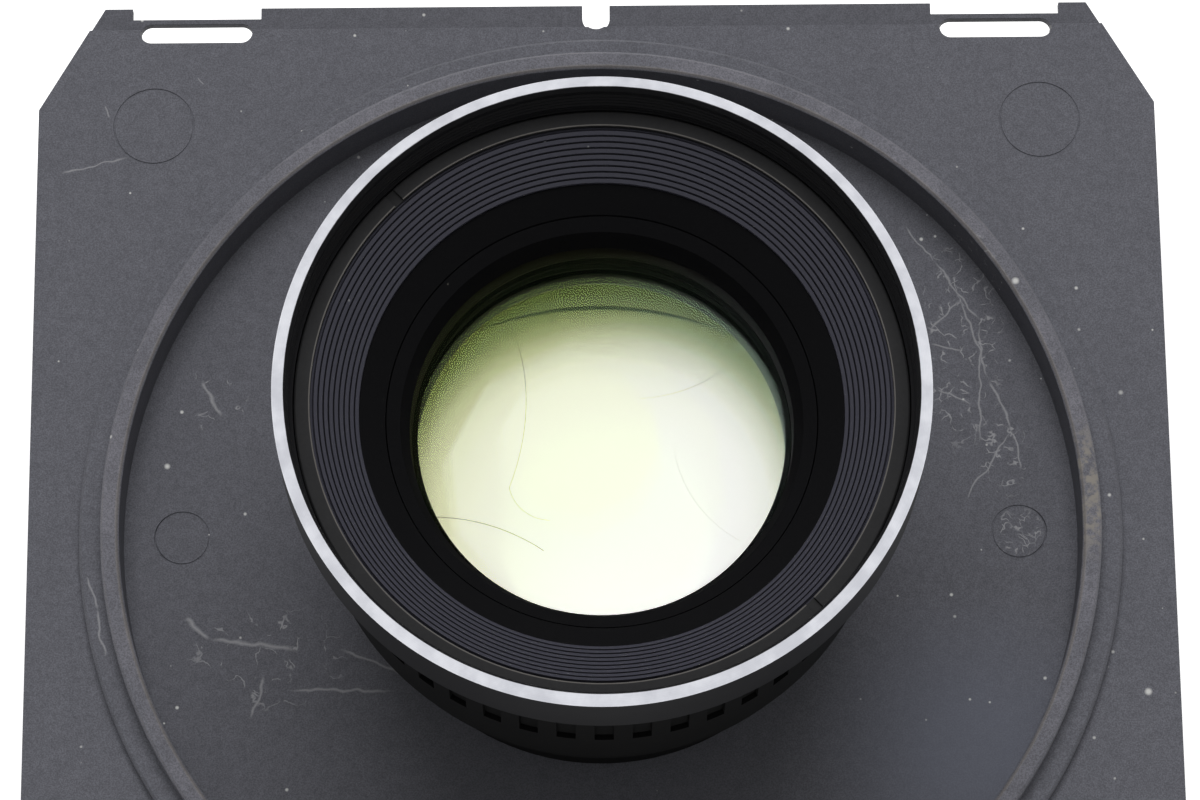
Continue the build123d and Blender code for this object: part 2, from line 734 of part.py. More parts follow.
def cam_slot():
    """Curved slot that turns a blade in step with the ring."""
    half = stud_radius + running_gap
    points = []
    for n in range(cam_steps + 1):
        radius, polar = drive_path(n / cam_steps)
        points.append((radius * cos(radians(polar)), radius * sin(radians(polar))))
    left = []
    right = []
    for n, (x, y) in enumerate(points):
        before = points[max(n - 1, 0)]
        after = points[min(n + 1, cam_steps)]
        run = hypot(after[0] - before[0], after[1] - before[1])
        nx = -(after[1] - before[1]) / run
        ny = (after[0] - before[0]) / run
        left.append((x + half * nx, y + half * ny))
        right.append((x - half * nx, y - half * ny))
    low = drive_ring_low - past
    deep = drive_ring_thickness + 2 * past
    outline = Spline(*left) + Line(left[-1], right[-1]) + Spline(*right[::-1]) + Line(right[0], left[0])
    slot = Pos(0, 0, face_z + low) * extrude(make_face(outline), deep)
    for x, y in (points[0], points[-1]):
        slot = slot + upright(half, low, low + deep, x, y)
    return slot


def make_drive_ring():
    ring = turned((drive_ring_inner, drive_ring_low), (drive_ring_outer, drive_ring_low),
                  (drive_ring_outer, drive_ring_high), (drive_ring_inner, drive_ring_high))
    slot = cam_slot()
    for n in range(blade_count):
        ring = ring - Rot(0, 0, n * 360 / blade_count) * slot
    tab_top = screw_height + screw_radius + tab_over_screw
    tab = upright(drive_ring_outer, drive_ring_low + tab_foot, tab_top)
    tab = tab - upright(tab_inner, drive_ring_low, tab_top + past)
    tab = tab & wedge(2 * drive_ring_outer, drive_ring_low, tab_top + past,
                      tab_angle - tab_width / 2, tab_angle + tab_width / 2)
    tab = tab - radial_bar(2 * (screw_radius + tab_slot_gap), tab_inner - past, drive_ring_outer + past,
                           screw_height - screw_radius - seat_gap, tab_top + past, tab_angle)
    return ring + tab


def make_snap_ring():
    outer = iris_bore - thread_gap
    ring = turned((outer - snap_ring_width, snap_ring_low), (outer, snap_ring_low),
                  (outer, snap_ring_low + snap_ring_thickness),
                  (outer - snap_ring_width, snap_ring_low + snap_ring_thickness))
    middle = tab_angle + aperture_turn / 2
    gap = wedge(2 * outer, snap_ring_low - past, snap_ring_low + snap_ring_thickness + past,
                middle - snap_ring_gap_angle / 2, middle + snap_ring_gap_angle / 2)
    return ring - gap


# ---------------------------------------------------------------- click stop and index
def make_click_ball():
    centre_z = face_z + index_high + ring_end_gap / 2 - ball_radius
    return Rot(0, 0, ball_angle) * Pos(ball_circle, 0, centre_z) * Sphere(ball_radius)


def make_click_spring():
    """Closely wound spring drawn as a short coil under the ball."""
    low = index_high - ball_hole_depth + spring_wire
    high = index_high + ring_end_gap / 2 - 2 * ball_radius - spring_wire
    coil = ball_radius - spring_inset
    path = Helix(pitch=(high - low) / spring_turns, height=high - low, radius=coil)
    section = Plane(origin=path @ 0, z_dir=path % 0) * Circle(spring_wire)
    return Rot(0, 0, ball_angle) * Pos(ball_circle, 0, face_z + low) * sweep(section, path=path)


def make_index_dot():
    floor = index_radius - index_dot_depth + index_dot_seat
    return radial_pin(index_dot_radius - index_dot_gap, floor, index_radius - index_dot_gap, ball_angle,
                      index_dot_height())


# ---------------------------------------------------------------- write every piece
os.makedirs("parts", exist_ok=True)

save(make_board(), "lens_board")
save(make_jam_ring(), "jam_ring")
save(make_main_barrel(), "main_barrel")
save(make_aperture_ring(), "aperture_ring")
save(make_drive_screw(), "drive_screw")
save(make_front_barrel(), "front_barrel")
save(make_set_screws(), "set_screws")
save(make_collar(), "front_collar")
save(make_baffle_ring(), "ribbed_baffle_ring")
save(make_front_retainer(), "front_retaining_ring")
save(make_front_cell(), "front_cell")
save(make_front_glass_ring(), "front_glass_ring")
save(make_front_spacer(), "front_spacer")
save(make_rear_cell(), "rear_cell")
save(make_rear_glass_ring(), "rear_glass_ring")
save(make_rear_inner_ring(), "rear_inner_ring")
save(make_iris_housing(), "iris_housing")
save(make_drive_ring(), "iris_drive_ring")
save(make_snap_ring(), "iris_snap_ring")
save(make_click_ball(), "click_ball")
save(make_click_spring(), "click_spring")
save(make_index_dot(), "index_dot")

for number, element in enumerate(make_front_glasses() + make_rear_glasses(), start=1):
    save(element, f"glass_element_{number}")
for number in range(blade_count):
    save(make_blade(number), f"iris_blade_{number + 1:02d}")
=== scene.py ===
"""Looks of a large-format enlarging lens on its lens board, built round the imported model.

Lengths are written in millimetres and scaled once, where a mesh or a pattern is made.  A turned
piece is an outline of (radius, height) points; heights are measured from the front face of the
lens board, as a turner would read them off the drawing."""

import math

import bmesh
import bpy
from mathutils import Matrix, Vector


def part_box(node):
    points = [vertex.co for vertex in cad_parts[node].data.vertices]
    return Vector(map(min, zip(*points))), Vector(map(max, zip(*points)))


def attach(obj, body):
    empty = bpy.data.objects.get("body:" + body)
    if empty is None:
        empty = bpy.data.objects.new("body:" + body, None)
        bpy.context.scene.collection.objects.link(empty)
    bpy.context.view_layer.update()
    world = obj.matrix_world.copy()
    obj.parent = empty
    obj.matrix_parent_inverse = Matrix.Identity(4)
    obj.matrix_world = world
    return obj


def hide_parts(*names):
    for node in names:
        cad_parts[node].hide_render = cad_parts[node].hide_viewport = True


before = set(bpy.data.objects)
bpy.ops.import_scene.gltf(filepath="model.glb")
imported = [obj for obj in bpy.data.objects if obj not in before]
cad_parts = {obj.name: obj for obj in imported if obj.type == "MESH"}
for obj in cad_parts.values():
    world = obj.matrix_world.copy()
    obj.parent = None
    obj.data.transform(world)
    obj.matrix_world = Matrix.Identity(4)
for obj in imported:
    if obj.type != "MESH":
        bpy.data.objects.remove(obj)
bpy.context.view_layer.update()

MM = 0.001
TURN = math.tau
SHARP_CORNER = math.radians(24)      # edges bent more than this are rounded
SMOOTH_CORNER = math.radians(30)     # edges bent less than this are shaded smooth
FINE_SHARE = 0.15                    # rounding left on a fine line


# ------------------------------------------------------------------ places taken from the frame
def foot_of(node):
    """Lowest height of a node over the origin, in millimetres."""
    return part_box(node)[0].z / MM


def top_of(node):
    """Highest point of a node over the origin, in millimetres."""
    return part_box(node)[1].z / MM


def radius_of(node):
    """Outer radius of a turned node."""
    return max(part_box(node)[1].x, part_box(node)[1].y) / MM


RING_RISE = 3.9                      # ring round the dish, over the plate's face
FACE = top_of("lens_board") - RING_RISE


def over_face(height_over_origin):
    return height_over_origin - FACE


# ------------------------------------------------------------------ meshes
def thread(radius, low, high, pitch, depth):
    """Fine screw thread drawn as rings, from low to high; a depth below zero cuts outwards."""
    turns = int((high - low) / pitch)
    points = []
    for n in range(turns):
        start = low + n * pitch
        points.append((radius, start))
        points.append((radius, start + 0.2 * pitch))
        points.append((radius - depth, start + 0.5 * pitch))
        points.append((radius - depth, start + 0.6 * pitch))
    points.append((radius, low + turns * pitch))
    return points


def arc_points(vertex, curve, inner, outer, steps):
    """Spherical surface from one radius to another; curve is positive if it bulges forwards."""
    points = []
    for n in range(steps + 1):
        radius = inner + (outer - inner) * n / steps
        sag = abs(curve) - math.sqrt(curve * curve - radius * radius)
        points.append((radius, vertex - math.copysign(sag, curve)))
    return points


def lathe(outline, steps=256, closed=True):
    """Turned shape: the outline is a ring of edges, or a chain with both ends on the axis."""
    bm = bmesh.new()
    verts = [bm.verts.new((radius * MM, 0, (FACE + height) * MM)) for radius, height in outline]
    followers = verts[1:] + verts[:1] if closed else verts[1:]
    edges = [bm.edges.new(pair) for pair in zip(verts, followers)]
    bmesh.ops.spin(bm, geom=verts + edges, cent=(0, 0, 0), axis=(0, 0, 1), dvec=(0, 0, 0),
                   angle=TURN, steps=steps, use_merge=True, use_duplicate=False)
    bmesh.ops.remove_doubles(bm, verts=bm.verts, dist=1e-7)
    bmesh.ops.recalc_face_normals(bm, faces=bm.faces)
    return bm


def copy_of(node):
    """The machined shape of a node as one merged mesh with its flat faces whole."""
    bm = bmesh.new()
    bm.from_mesh(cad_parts[node].data)
    bmesh.ops.remove_doubles(bm, verts=bm.verts, dist=2e-7)
    bmesh.ops.dissolve_limit(bm, angle_limit=math.radians(0.5), verts=bm.verts, edges=bm.edges)
    bmesh.ops.recalc_face_normals(bm, faces=bm.faces)
    return bm


def weigh_edges(bm, is_fine):
    """Sharp edges take the full rounding, fine ones a small share of it, the rest none."""
    layer = bm.edges.layers.float.new("bevel_weight_edge")
    for edge in bm.edges:
        if edge.is_manifold and edge.calc_face_angle() > SHARP_CORNER:
            edge[layer] = FINE_SHARE if is_fine(edge) else 1.0


def piece(name, bm, body, materials, nodes=(), edge=0.0, segments=2, is_fine=None):
    """Finished piece: smooth shading, rounded edges, its body, finish slot and the nodes it stands for."""
    if is_fine:
        weigh_edges(bm, is_fine)
    mesh = bpy.data.meshes.new(name)
    for face in bm.faces:
        face.smooth = True
    bm.to_mesh(mesh)
    bm.free()
    for leftover in ("custom_normal", "sharp_edge", "sharp_face"):
        if leftover in mesh.attributes:
            mesh.attributes.remove(mesh.attributes[leftover])
    for material in materials:
        mesh.materials.append(material)
    made = bpy.data.objects.new(name, mesh)
    bpy.context.scene.collection.objects.link(made)
    if edge:
        soft = made.modifiers.new("soft_edges", "BEVEL")
        soft.width = edge * MM
        soft.segments = segments
        soft.limit_method = "WEIGHT" if is_fine else "ANGLE"
        soft.angle_limit = SHARP_CORNER
        soft.harden_normals = True
    else:
        mesh.set_sharp_from_angle(angle=SMOOTH_CORNER)
    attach(made, body)
    if nodes:
        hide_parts(*nodes)
    return made


def refinish(node, material):
    """A node whose machined shape stays, with a better finish."""
    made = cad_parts[node]
    if not made.material_slots:
        made.data.materials.append(material)
    for material_slot in made.material_slots:
        material_slot.material = material


# ------------------------------------------------------------------ shader building
def add(tree, kind, inputs=None, **settings):
    """New node; an input given a socket is linked, any other value is set on the socket."""
    node = tree.nodes.new(kind)
    for key, value in settings.items():
        setattr(node, key, value)
    for key, value in (inputs or {}).items():
        if isinstance(value, bpy.types.NodeSocket):
            tree.links.new(value, node.inputs[key])
        else:
            node.inputs[key].default_value = value
    return node


def calc(tree, operation, first, second=0.0, clamp=False):
    node = add(tree, "ShaderNodeMath", {0: first, 1: second}, operation=operation, use_clamp=clamp)
    return node.outputs[0]


def step(tree, value, low, high):
    """0 below low, 1 above high, smooth between; low may be the larger one for a falling step."""
    ramp = add(tree, "ShaderNodeMapRange", {"Value": value, "From Min": low, "From Max": high},
               interpolation_type="SMOOTHSTEP")
    return ramp.outputs[0]


def band_mask(tree, value, low, high, soft):
    """1 between two values, with soft edges inside them."""
    return calc(tree, "MULTIPLY", step(tree, value, low, low + soft), step(tree, value, high, high - soft))


def mix(tree, share, first, second):
    node = add(tree, "ShaderNodeMix", {0: share, 6: first, 7: second}, data_type="RGBA")
    return node.outputs[2]


def shade(tree, colour, factor):
    """Colour made lighter or darker by a factor."""
    node = add(tree, "ShaderNodeMix", {0: 1.0, 6: colour, 7: factor},
               data_type="RGBA", blend_type="MULTIPLY")
    return node.outputs[2]


def grey(level):
    return (level, level, level, 1.0)


def ramp(tree, value, low, high, stops):
    """Colour read off a scale of (value, colour) stops between low and high."""
    share = calc(tree, "DIVIDE", calc(tree, "SUBTRACT", value, low), high - low)
    node = add(tree, "ShaderNodeValToRGB", {0: share})
    scale = node.color_ramp.elements
    for n, (at, colour) in enumerate(stops):
        stop = scale[n] if n < 2 else scale.new(1.0)
        stop.position = (at - low) / (high - low)
        stop.color = (*colour, 1)
    return node.outputs[0]


def effect(name, inputs, outputs):
    """Empty effect with inputs given as (name, default) and outputs given by name."""
    group = bpy.data.node_groups.new(name, "ShaderNodeTree")
    for label, default in inputs:
        socket = group.interface.new_socket(name=label, in_out="INPUT", socket_type="NodeSocketFloat")
        socket.default_value = default
    for label in outputs:
        group.interface.new_socket(name=label, in_out="OUTPUT", socket_type="NodeSocketFloat")
    return group, add(group, "NodeGroupInput"), add(group, "NodeGroupOutput")


def use(tree, group, **values):
    """Places an effect in a material with its own values."""
    node = add(tree, "ShaderNodeGroup", node_tree=group)
    for key, value in values.items():
        label = key.replace("_", " ")
        if isinstance(value, bpy.types.NodeSocket):
            tree.links.new(value, node.inputs[label])
        else:
            node.inputs[label].default_value = value
    return node.outputs


def in_millimetres(tree):
    """Object coordinates in millimetres."""
    where = add(tree, "ShaderNodeTexCoord").outputs["Object"]
    return add(tree, "ShaderNodeVectorMath", {0: where, "Scale": 1 / MM}, operation="SCALE").outputs[0]


def offset_from(tree, x, y):
    """How far a point lies from a place in X and in Y, in millimetres."""
    where = add(tree, "ShaderNodeSeparateXYZ", {0: in_millimetres(tree)})
    return calc(tree, "SUBTRACT", where.outputs[0], x), calc(tree, "SUBTRACT", where.outputs[1], y)


def squares_of(tree, first, second):
    """Sum of the squares of two values."""
    return calc(tree, "ADD", calc(tree, "MULTIPLY", first, first), calc(tree, "MULTIPLY", second, second))


def length_of(tree, first, second):
    """Length of the slope with these two sides."""
    return calc(tree, "SQRT", squares_of(tree, first, second))


# ------------------------------------------------------------------ effects shared by the finishes
def make_turned_place():
    """Radius, height over the board's face and bearing of a point, in millimetres and turns."""
    group, _, end = effect("turned_place", [], ["Radius", "Height", "Bearing"])
    where = add(group, "ShaderNodeSeparateXYZ", {0: in_millimetres(group)})
    x, y, z = where.outputs
    group.links.new(length_of(group, x, y), end.inputs["Radius"])
    group.links.new(calc(group, "SUBTRACT", z, FACE), end.inputs["Height"])
    bearing = calc(group, "DIVIDE", calc(group, "ARCTAN2", y, x), TURN)
    group.links.new(bearing, end.inputs["Bearing"])
    return group


def make_grain():
    """Fine and coarse unevenness of a surface, each about 0.5 in the middle."""
    group, start, end = effect("grain", [("Fine size", 0.3), ("Coarse size", 6.0)], ["Fine", "Coarse"])
    where = in_millimetres(group)
    for label, size, detail in (("Fine", "Fine size", 3.0), ("Coarse", "Coarse size", 4.0)):
        scale = calc(group, "DIVIDE", 1.0, start.outputs[size])
        noise = add(group, "ShaderNodeTexNoise", {"Vector": where, "Scale": scale, "Detail": detail,
                                                  "Roughness": 0.6})
        group.links.new(noise.outputs[0], end.inputs[label])
    return group


def make_dust():
    """Scattered specks of dust."""
    group, start, end = effect("dust", [("Spacing", 3.0), ("Speck", 0.1), ("Share", 0.5)], ["Mask"])
    spacing = start.outputs["Spacing"]
    cells = add(group, "ShaderNodeTexVoronoi", {"Vector": in_millimetres(group),
                                                "Scale": calc(group, "DIVIDE", 1.0, spacing)})
    lot = add(group, "ShaderNodeSeparateColor", {0: cells.outputs["Color"]})
    distance = calc(group, "MULTIPLY", cells.outputs["Distance"], spacing)
    size = calc(group, "MULTIPLY", start.outputs["Speck"], calc(group, "ADD", lot.outputs[0], 0.4))
    edge = calc(group, "SUBTRACT", calc(group, "DIVIDE", distance, size), 0.6)
    near = calc(group, "SUBTRACT", 1.0, edge, clamp=True)
    chosen = calc(group, "LESS_THAN", lot.outputs[1], start.outputs["Share"])
    group.links.new(calc(group, "MULTIPLY", near, chosen, clamp=True), end.inputs["Mask"])
    return group


def make_fibre_scuffs():
    """A tangle of fine pale scuffs round a place, broken up and fading outwards."""
    group, start, end = effect(
        "fibre_scuffs", [("X", 0.0), ("Y", 0.0), ("Half width", 4.0), ("Half height", 8.0), ("Cell", 3.0)],
        ["Mask"])
    where = in_millimetres(group)
    warp = add(group, "ShaderNodeTexNoise", {"Vector": where, "Scale": 0.35, "Detail": 3.0})
    pull = add(group, "ShaderNodeVectorMath", {0: warp.outputs["Color"], "Scale": 5.0}, operation="SCALE")
    bent = add(group, "ShaderNodeVectorMath", {0: where, 1: pull.outputs[0]}, operation="ADD")
    cells = add(group, "ShaderNodeTexVoronoi",
                {"Vector": bent.outputs[0], "Scale": calc(group, "DIVIDE", 1.0, start.outputs["Cell"])},
                feature="DISTANCE_TO_EDGE", voronoi_dimensions="2D")
    distance = calc(group, "MULTIPLY", cells.outputs["Distance"], start.outputs["Cell"])
    line = step(group, distance, 0.11, 0.02)
    gaps = add(group, "ShaderNodeTexNoise", {"Vector": where, "Scale": 0.8, "Detail": 2.0})
    broken = calc(group, "MULTIPLY", line, step(group, gaps.outputs[0], 0.46, 0.6))
    xyz = add(group, "ShaderNodeSeparateXYZ", {0: where})
    away_x = calc(group, "DIVIDE", calc(group, "SUBTRACT", xyz.outputs[0], start.outputs["X"]),
                  start.outputs["Half width"])
    away_y = calc(group, "DIVIDE", calc(group, "SUBTRACT", xyz.outputs[1], start.outputs["Y"]),
                  start.outputs["Half height"])
    away = squares_of(group, away_x, away_y)
    group.links.new(calc(group, "MULTIPLY", broken, step(group, away, 1.0, 0.35)), end.inputs["Mask"])
    return group


def make_line_mark():
    """One fine scratch between two places, with soft ends and a slightly wandering edge."""
    group, start, end = effect(
        "line_mark", [("X1", 0.0), ("Y1", 0.0), ("X2", 1.0), ("Y2", 0.0), ("Width", 0.1)], ["Mask"])
    px, py = offset_from(group, start.outputs["X1"], start.outputs["Y1"])
    dx = calc(group, "SUBTRACT", start.outputs["X2"], start.outputs["X1"])
    dy = calc(group, "SUBTRACT", start.outputs["Y2"], start.outputs["Y1"])
    run = length_of(group, dx, dy)
    along = calc(group, "DIVIDE", calc(group, "ADD", calc(group, "MULTIPLY", px, dx),
                                       calc(group, "MULTIPLY", py, dy)), run)
    across = calc(group, "DIVIDE", calc(group, "SUBTRACT", calc(group, "MULTIPLY", px, dy),
                                        calc(group, "MULTIPLY", py, dx)), run)
    wander = add(group, "ShaderNodeTexNoise", {"Vector": in_millimetres(group), "Scale": 0.6, "Detail": 1.0})
    bent = calc(group, "ADD", across, calc(group, "MULTIPLY",
                                           calc(group, "SUBTRACT", wander.outputs[0], 0.5), 0.8))
    near = calc(group, "SUBTRACT", 1.0, calc(group, "DIVIDE", calc(group, "ABSOLUTE", bent),
                                             start.outputs["Width"]), clamp=True)
    share = calc(group, "DIVIDE", along, run)
    inside = calc(group, "MULTIPLY", step(group, share, -0.02, 0.15), step(group, share, 1.02, 0.8))
    group.links.new(calc(group, "MULTIPLY", near, inside), end.inputs["Mask"])
    return group


def make_arc_mark():
    """One fine curved hair: part of a circle, between two bearings in degrees."""
    group, start, end = effect(
        "arc_mark", [("X", 0.0), ("Y", 0.0), ("Radius", 5.0), ("From", 0.0), ("To", 90.0), ("Width", 0.06)],
        ["Mask"])
    px, py = offset_from(group, start.outputs["X"], start.outputs["Y"])
    reach = length_of(group, px, py)
    away = calc(group, "ABSOLUTE", calc(group, "SUBTRACT", reach, start.outputs["Radius"]))
    near = calc(group, "SUBTRACT", 1.0, calc(group, "DIVIDE", away, start.outputs["Width"]), clamp=True)
    bearing = calc(group, "DEGREES", calc(group, "ARCTAN2", py, px))
    past_start = calc(group, "GREATER_THAN", bearing, start.outputs["From"])
    before_end = calc(group, "LESS_THAN", bearing, start.outputs["To"])
    inside = calc(group, "MULTIPLY", past_start, before_end)
    group.links.new(calc(group, "MULTIPLY", near, inside), end.inputs["Mask"])
    return group


def make_many_sided():
    """Soft-edged patch with ten straight sides."""
    group, start, end = effect(
        "many_sided", [("X", 0.0), ("Y", 0.0), ("Reach", 6.0), ("Turn", 0.0), ("Soft", 0.4)], ["Mask"])
    px, py = offset_from(group, start.outputs["X"], start.outputs["Y"])
    reach = length_of(group, px, py)
    bearing = calc(group, "ADD", calc(group, "ARCTAN2", py, px), start.outputs["Turn"])
    side = TURN / 10
    in_side = calc(group, "SUBTRACT", calc(group, "FLOORED_MODULO", bearing, side), side / 2)
    out = calc(group, "MULTIPLY", reach, calc(group, "COSINE", in_side))
    edge = calc(group, "DIVIDE", calc(group, "SUBTRACT", start.outputs["Reach"], out), start.outputs["Soft"],
                clamp=True)
    group.links.new(edge, end.inputs["Mask"])
    return group


def make_turning_marks():
    """Fine concentric marks of the lathe tool."""
    group, start, end = effect("turning_marks", [("Pitch", 0.12), ("Radius", 0.0), ("Height", 0.0)], ["Value"])
    place = calc(group, "ADD", start.outputs["Radius"], calc(group, "MULTIPLY", start.outputs["Height"], 0.7))
    scale = calc(group, "DIVIDE", 1.0, start.outputs["Pitch"])
    noise = add(group, "ShaderNodeTexNoise", {"W": place, "Scale": scale, "Detail": 2.0}, noise_dimensions="1D")
    group.links.new(noise.outputs[0], end.inputs["Value"])
    return group


def make_edge_wear_and_highlight():
    """Pale line round a turned edge, broken up along it: paint or blacking rubbed off, and on the retaining
    ring's inner edge a painted highlight.
    """
    group, start, end = effect(
        "edge_wear_and_highlight", [("Radius", 0.0), ("Height", 0.0), ("Edge radius", 0.0), ("Edge height", 0.0),
                      ("Width", 0.15), ("Cover", 0.5)], ["Mask"])
    out = calc(group, "SUBTRACT", start.outputs["Radius"], start.outputs["Edge radius"])
    up = calc(group, "SUBTRACT", start.outputs["Height"], start.outputs["Edge height"])
    away = length_of(group, out, up)
    rubbed = add(group, "ShaderNodeTexNoise", {"Vector": in_millimetres(group), "Scale": 0.25, "Detail": 5.0,
                                               "Roughness": 0.7})
    cover = calc(group, "ADD", calc(group, "SUBTRACT", rubbed.outputs[0], 0.5), start.outputs["Cover"])
    near = calc(group, "SUBTRACT", 1.0, calc(group, "DIVIDE", away, start.outputs["Width"]), clamp=True)
    worn_and_lit = step(group, calc(group, "MULTIPLY", near, calc(group, "MULTIPLY", cover, 2.0)), 0.15, 0.6)
    group.links.new(worn_and_lit, end.inputs["Mask"])
    return group


turned_place = make_turned_place()
grain = make_grain()
dust = make_dust()
fibre_scuffs = make_fibre_scuffs()
line_mark = make_line_mark()
arc_mark = make_arc_mark()
many_sided = make_many_sided()
turning_marks = make_turning_marks()
edge_wear_and_highlight = make_edge_wear_and_highlight()


# ------------------------------------------------------------------ finishes
def finish(name):
    """Material with its shader, ready for a colour, a roughness and a bump."""
    material = bpy.data.materials.new(name)
    material.use_nodes = True
    tree = material.node_tree
    tree.nodes.clear()
    shader = add(tree, "ShaderNodeBsdfPrincipled")
    output = add(tree, "ShaderNodeOutputMaterial")
    tree.links.new(shader.outputs[0], output.inputs[0])
    return material, tree, shader


def dress(tree, shader, colour, roughness, height=None, bump=0.3, depth=0.02):
    """Links colour and roughness, and a height pattern as bump; depth in millimetres."""
    for label, value in (("Base Color", colour), ("Roughness", roughness)):
        if isinstance(value, bpy.types.NodeSocket):
            tree.links.new(value, shader.inputs[label])
        else:
            shader.inputs[label].default_value = value
    if height is not None:
        relief = add(tree, "ShaderNodeBump", {"Height": height, "Strength": bump, "Distance": depth * MM})
        tree.links.new(relief.outputs[0], shader.inputs["Normal"])


def highest(tree, masks):
    """The strongest of several masks."""
    total = masks[0]
    for mask in masks[1:]:
        total = calc(tree, "MAXIMUM", total, mask)
    return total


# (x and y of one end, x and y of the other, width)
PLATE_SCRATCHES = [(-54.7, 38.0, -47.6, 39.8, 0.12), (-50.3, 45.4, -49.7, 44.1, 0.12),
                   (-40.8, 48.4, -40.2, 47.6, 0.10), (-50.9, -4.9, -49.7, -8.4, 0.16),
                   (-49.8, -8.2, -48.9, -13.3, 0.16), (-41.4, -8.2, -38.9, -10.5, 0.3),
                   (-38.9, -10.5, -29.9, -11.6, 0.3), (-26.0, -11.6, -18.0, -14.8, 0.2),
                   (-31.0, -15.7, -20.5, -16.0, 0.2), (-33.4, -14.2, -34.8, -18.7, 0.2),
                   (-40.0, 16.6, -38.0, 12.6, 0.25), (31.3, 32.3, 34.2, 28.6, 0.12),
                   (34.2, 28.6, 38.6, 22.1, 0.14),
                   (33.5, 21.3, 36.7, 24.5, 0.14), (36.7, 24.5, 39.4, 16.0, 0.16),
                   (39.4, 16.0, 41.6, 10.6, 0.16), (41.5, 10.6, 42.3, 6.4, 0.14),
                   (36.5, 3.3, 41.4, 10.7, 0.12), (38.6, 22.0, 38.2, 9.0, 0.14),
                   (33.6, 19.8, 36.9, 19.0, 0.12), (34.0, 15.0, 37.6, 13.4, 0.12)]


def make_board_plastic():
    """Black moulded plastic, matt and finely grained, scuffed in the dish and rubbed pale along the ring's
    edges; the dish floor carries painted shade and a painted bluish sheen, and the ring's top is paler, partly
    rubbed wear and partly a painted highlight.
    """
    material, tree, shader = finish("board_plastic")
    place = use(tree, turned_place)
    uneven = use(tree, grain, Fine_size=0.14, Coarse_size=7.0)
    cloudy = use(tree, grain, Fine_size=1.1, Coarse_size=22.0)
    plain = mix(tree, uneven[1], (0.077, 0.078, 0.091, 1), (0.099, 0.100, 0.115, 1))
    speckled = shade(tree, plain, mix(tree, step(tree, uneven[0], 0.3, 0.7), grey(0.70), grey(1.30)))
    speckled = shade(tree, speckled, mix(tree, step(tree, cloudy[0], 0.3, 0.7), grey(0.93), grey(1.07)))
    lowered = calc(tree, "MULTIPLY", step(tree, place["Height"], -0.35, -0.55),
                   step(tree, place["Radius"], 52.5, 53.0))
    speckled = shade(tree, speckled, mix(tree, lowered, grey(1.0), grey(0.84)))
    # in_dish marks the dish floor; painted shade: the whole floor of the dish is made darker
    in_dish = calc(tree, "MULTIPLY", step(tree, place["Radius"], 47.7, 47.5),
                   step(tree, place["Height"], 1.0, -1.0))
    speckled = shade(tree, speckled, mix(tree, in_dish, grey(1.0), grey(0.92)))
    # painted sheen: a soft bluish lighter patch on the dish floor, below and right of the lens
    painted_bluish_sheen = calc(tree, "MULTIPLY", in_dish,
                  use(tree, many_sided, X=36.0, Y=-22.0, Reach=16.0, Soft=12.0)["Mask"])
    speckled = mix(tree, calc(tree, "MULTIPLY", painted_bluish_sheen, 0.6), speckled, (0.110, 0.118, 0.150, 1))
    # partly painted highlight and partly rubbed wear: the whole top of the ring is made paler, more so in
    # rubbed patches
    on_ring = band_mask(tree, place["Radius"], 47.3, 49.6, 0.1)
    raised = step(tree, place["Height"], 3.5, 3.8)
    rubbed = step(tree, uneven[1], 0.35, 0.65)
    ring_top_wear_and_highlight = calc(tree, "MULTIPLY", calc(tree, "MULTIPLY", on_ring, raised),
                    calc(tree, "ADD", 0.35, calc(tree, "MULTIPLY", rubbed, 0.5)))
    colour = mix(tree, ring_top_wear_and_highlight, speckled, shade(tree, speckled, (1.50, 1.46, 1.44, 1)))
    wear = highest(tree, [
        use(tree, edge_wear_and_highlight, Radius=place["Radius"], Height=place["Height"], Edge_radius=radius,
            Edge_height=height, Width=width, Cover=cover)["Mask"]
        for radius, height, width, cover in ((47.8, RING_RISE, 0.34, 0.45), (49.4, RING_RISE, 0.25, 0.30),
                                             (51.7, 1.5, 0.22, 0.25))])
    colour = mix(tree, calc(tree, "MULTIPLY", wear, 0.35), colour, (0.19, 0.17, 0.145, 1))
    # a patch on the right of the ring's top is made paler, broken up by noise
    right_ring_patch = calc(tree, "MULTIPLY", calc(tree, "MULTIPLY", on_ring, raised),
                     use(tree, many_sided, X=48.4, Y=2.5, Reach=7.5, Soft=4.0)["Mask"])
    colour = mix(tree, calc(tree, "MULTIPLY", right_ring_patch, step(tree, cloudy[0], 0.42, 0.6)), colour,
                 (0.20, 0.185, 0.165, 1))
    scuffs = highest(tree, [
        use(tree, fibre_scuffs, X=x, Y=y, Half_width=w, Half_height=h, Cell=cell)["Mask"]
        for x, y, w, h, cell in ((36.5, 20.0, 5.0, 13.0, 1.7), (-33.0, -12.5, 9.0, 6.0, 3.2),
                                 (-38.5, 14.5, 3.5, 4.5, 3.0), (41.8, 0.0, 2.9, 2.9, 0.9),
                                 (40.5, 8.0, 3.0, 5.0, 1.6))])
    marks = [use(tree, line_mark, X1=a, Y1=b, X2=c, Y2=d, Width=w)["Mask"]
             for a, b, c, d, w in PLATE_SCRATCHES]
    pale = calc(tree, "MAXIMUM", calc(tree, "MULTIPLY", scuffs, 0.45),
                calc(tree, "MULTIPLY", highest(tree, marks), 0.45))
    colour = mix(tree, pale, colour, (0.38, 0.38, 0.39, 1))
    specks = calc(tree, "MAXIMUM", use(tree, dust, Spacing=2.2, Speck=0.11, Share=0.35)["Mask"],
                  use(tree, dust, Spacing=6.0, Speck=0.2, Share=0.3)["Mask"])
    colour = mix(tree, calc(tree, "MULTIPLY", specks, 0.75), colour, (0.62, 0.62, 0.6, 1))
    roughness = calc(tree, "ADD", 0.56, calc(tree, "MULTIPLY", uneven[1], 0.14))
    dress(tree, shader, colour, roughness, height=uneven[0], bump=0.5, depth=0.01)
    shader.inputs["Specular IOR Level"].default_value = 0.4
    return material


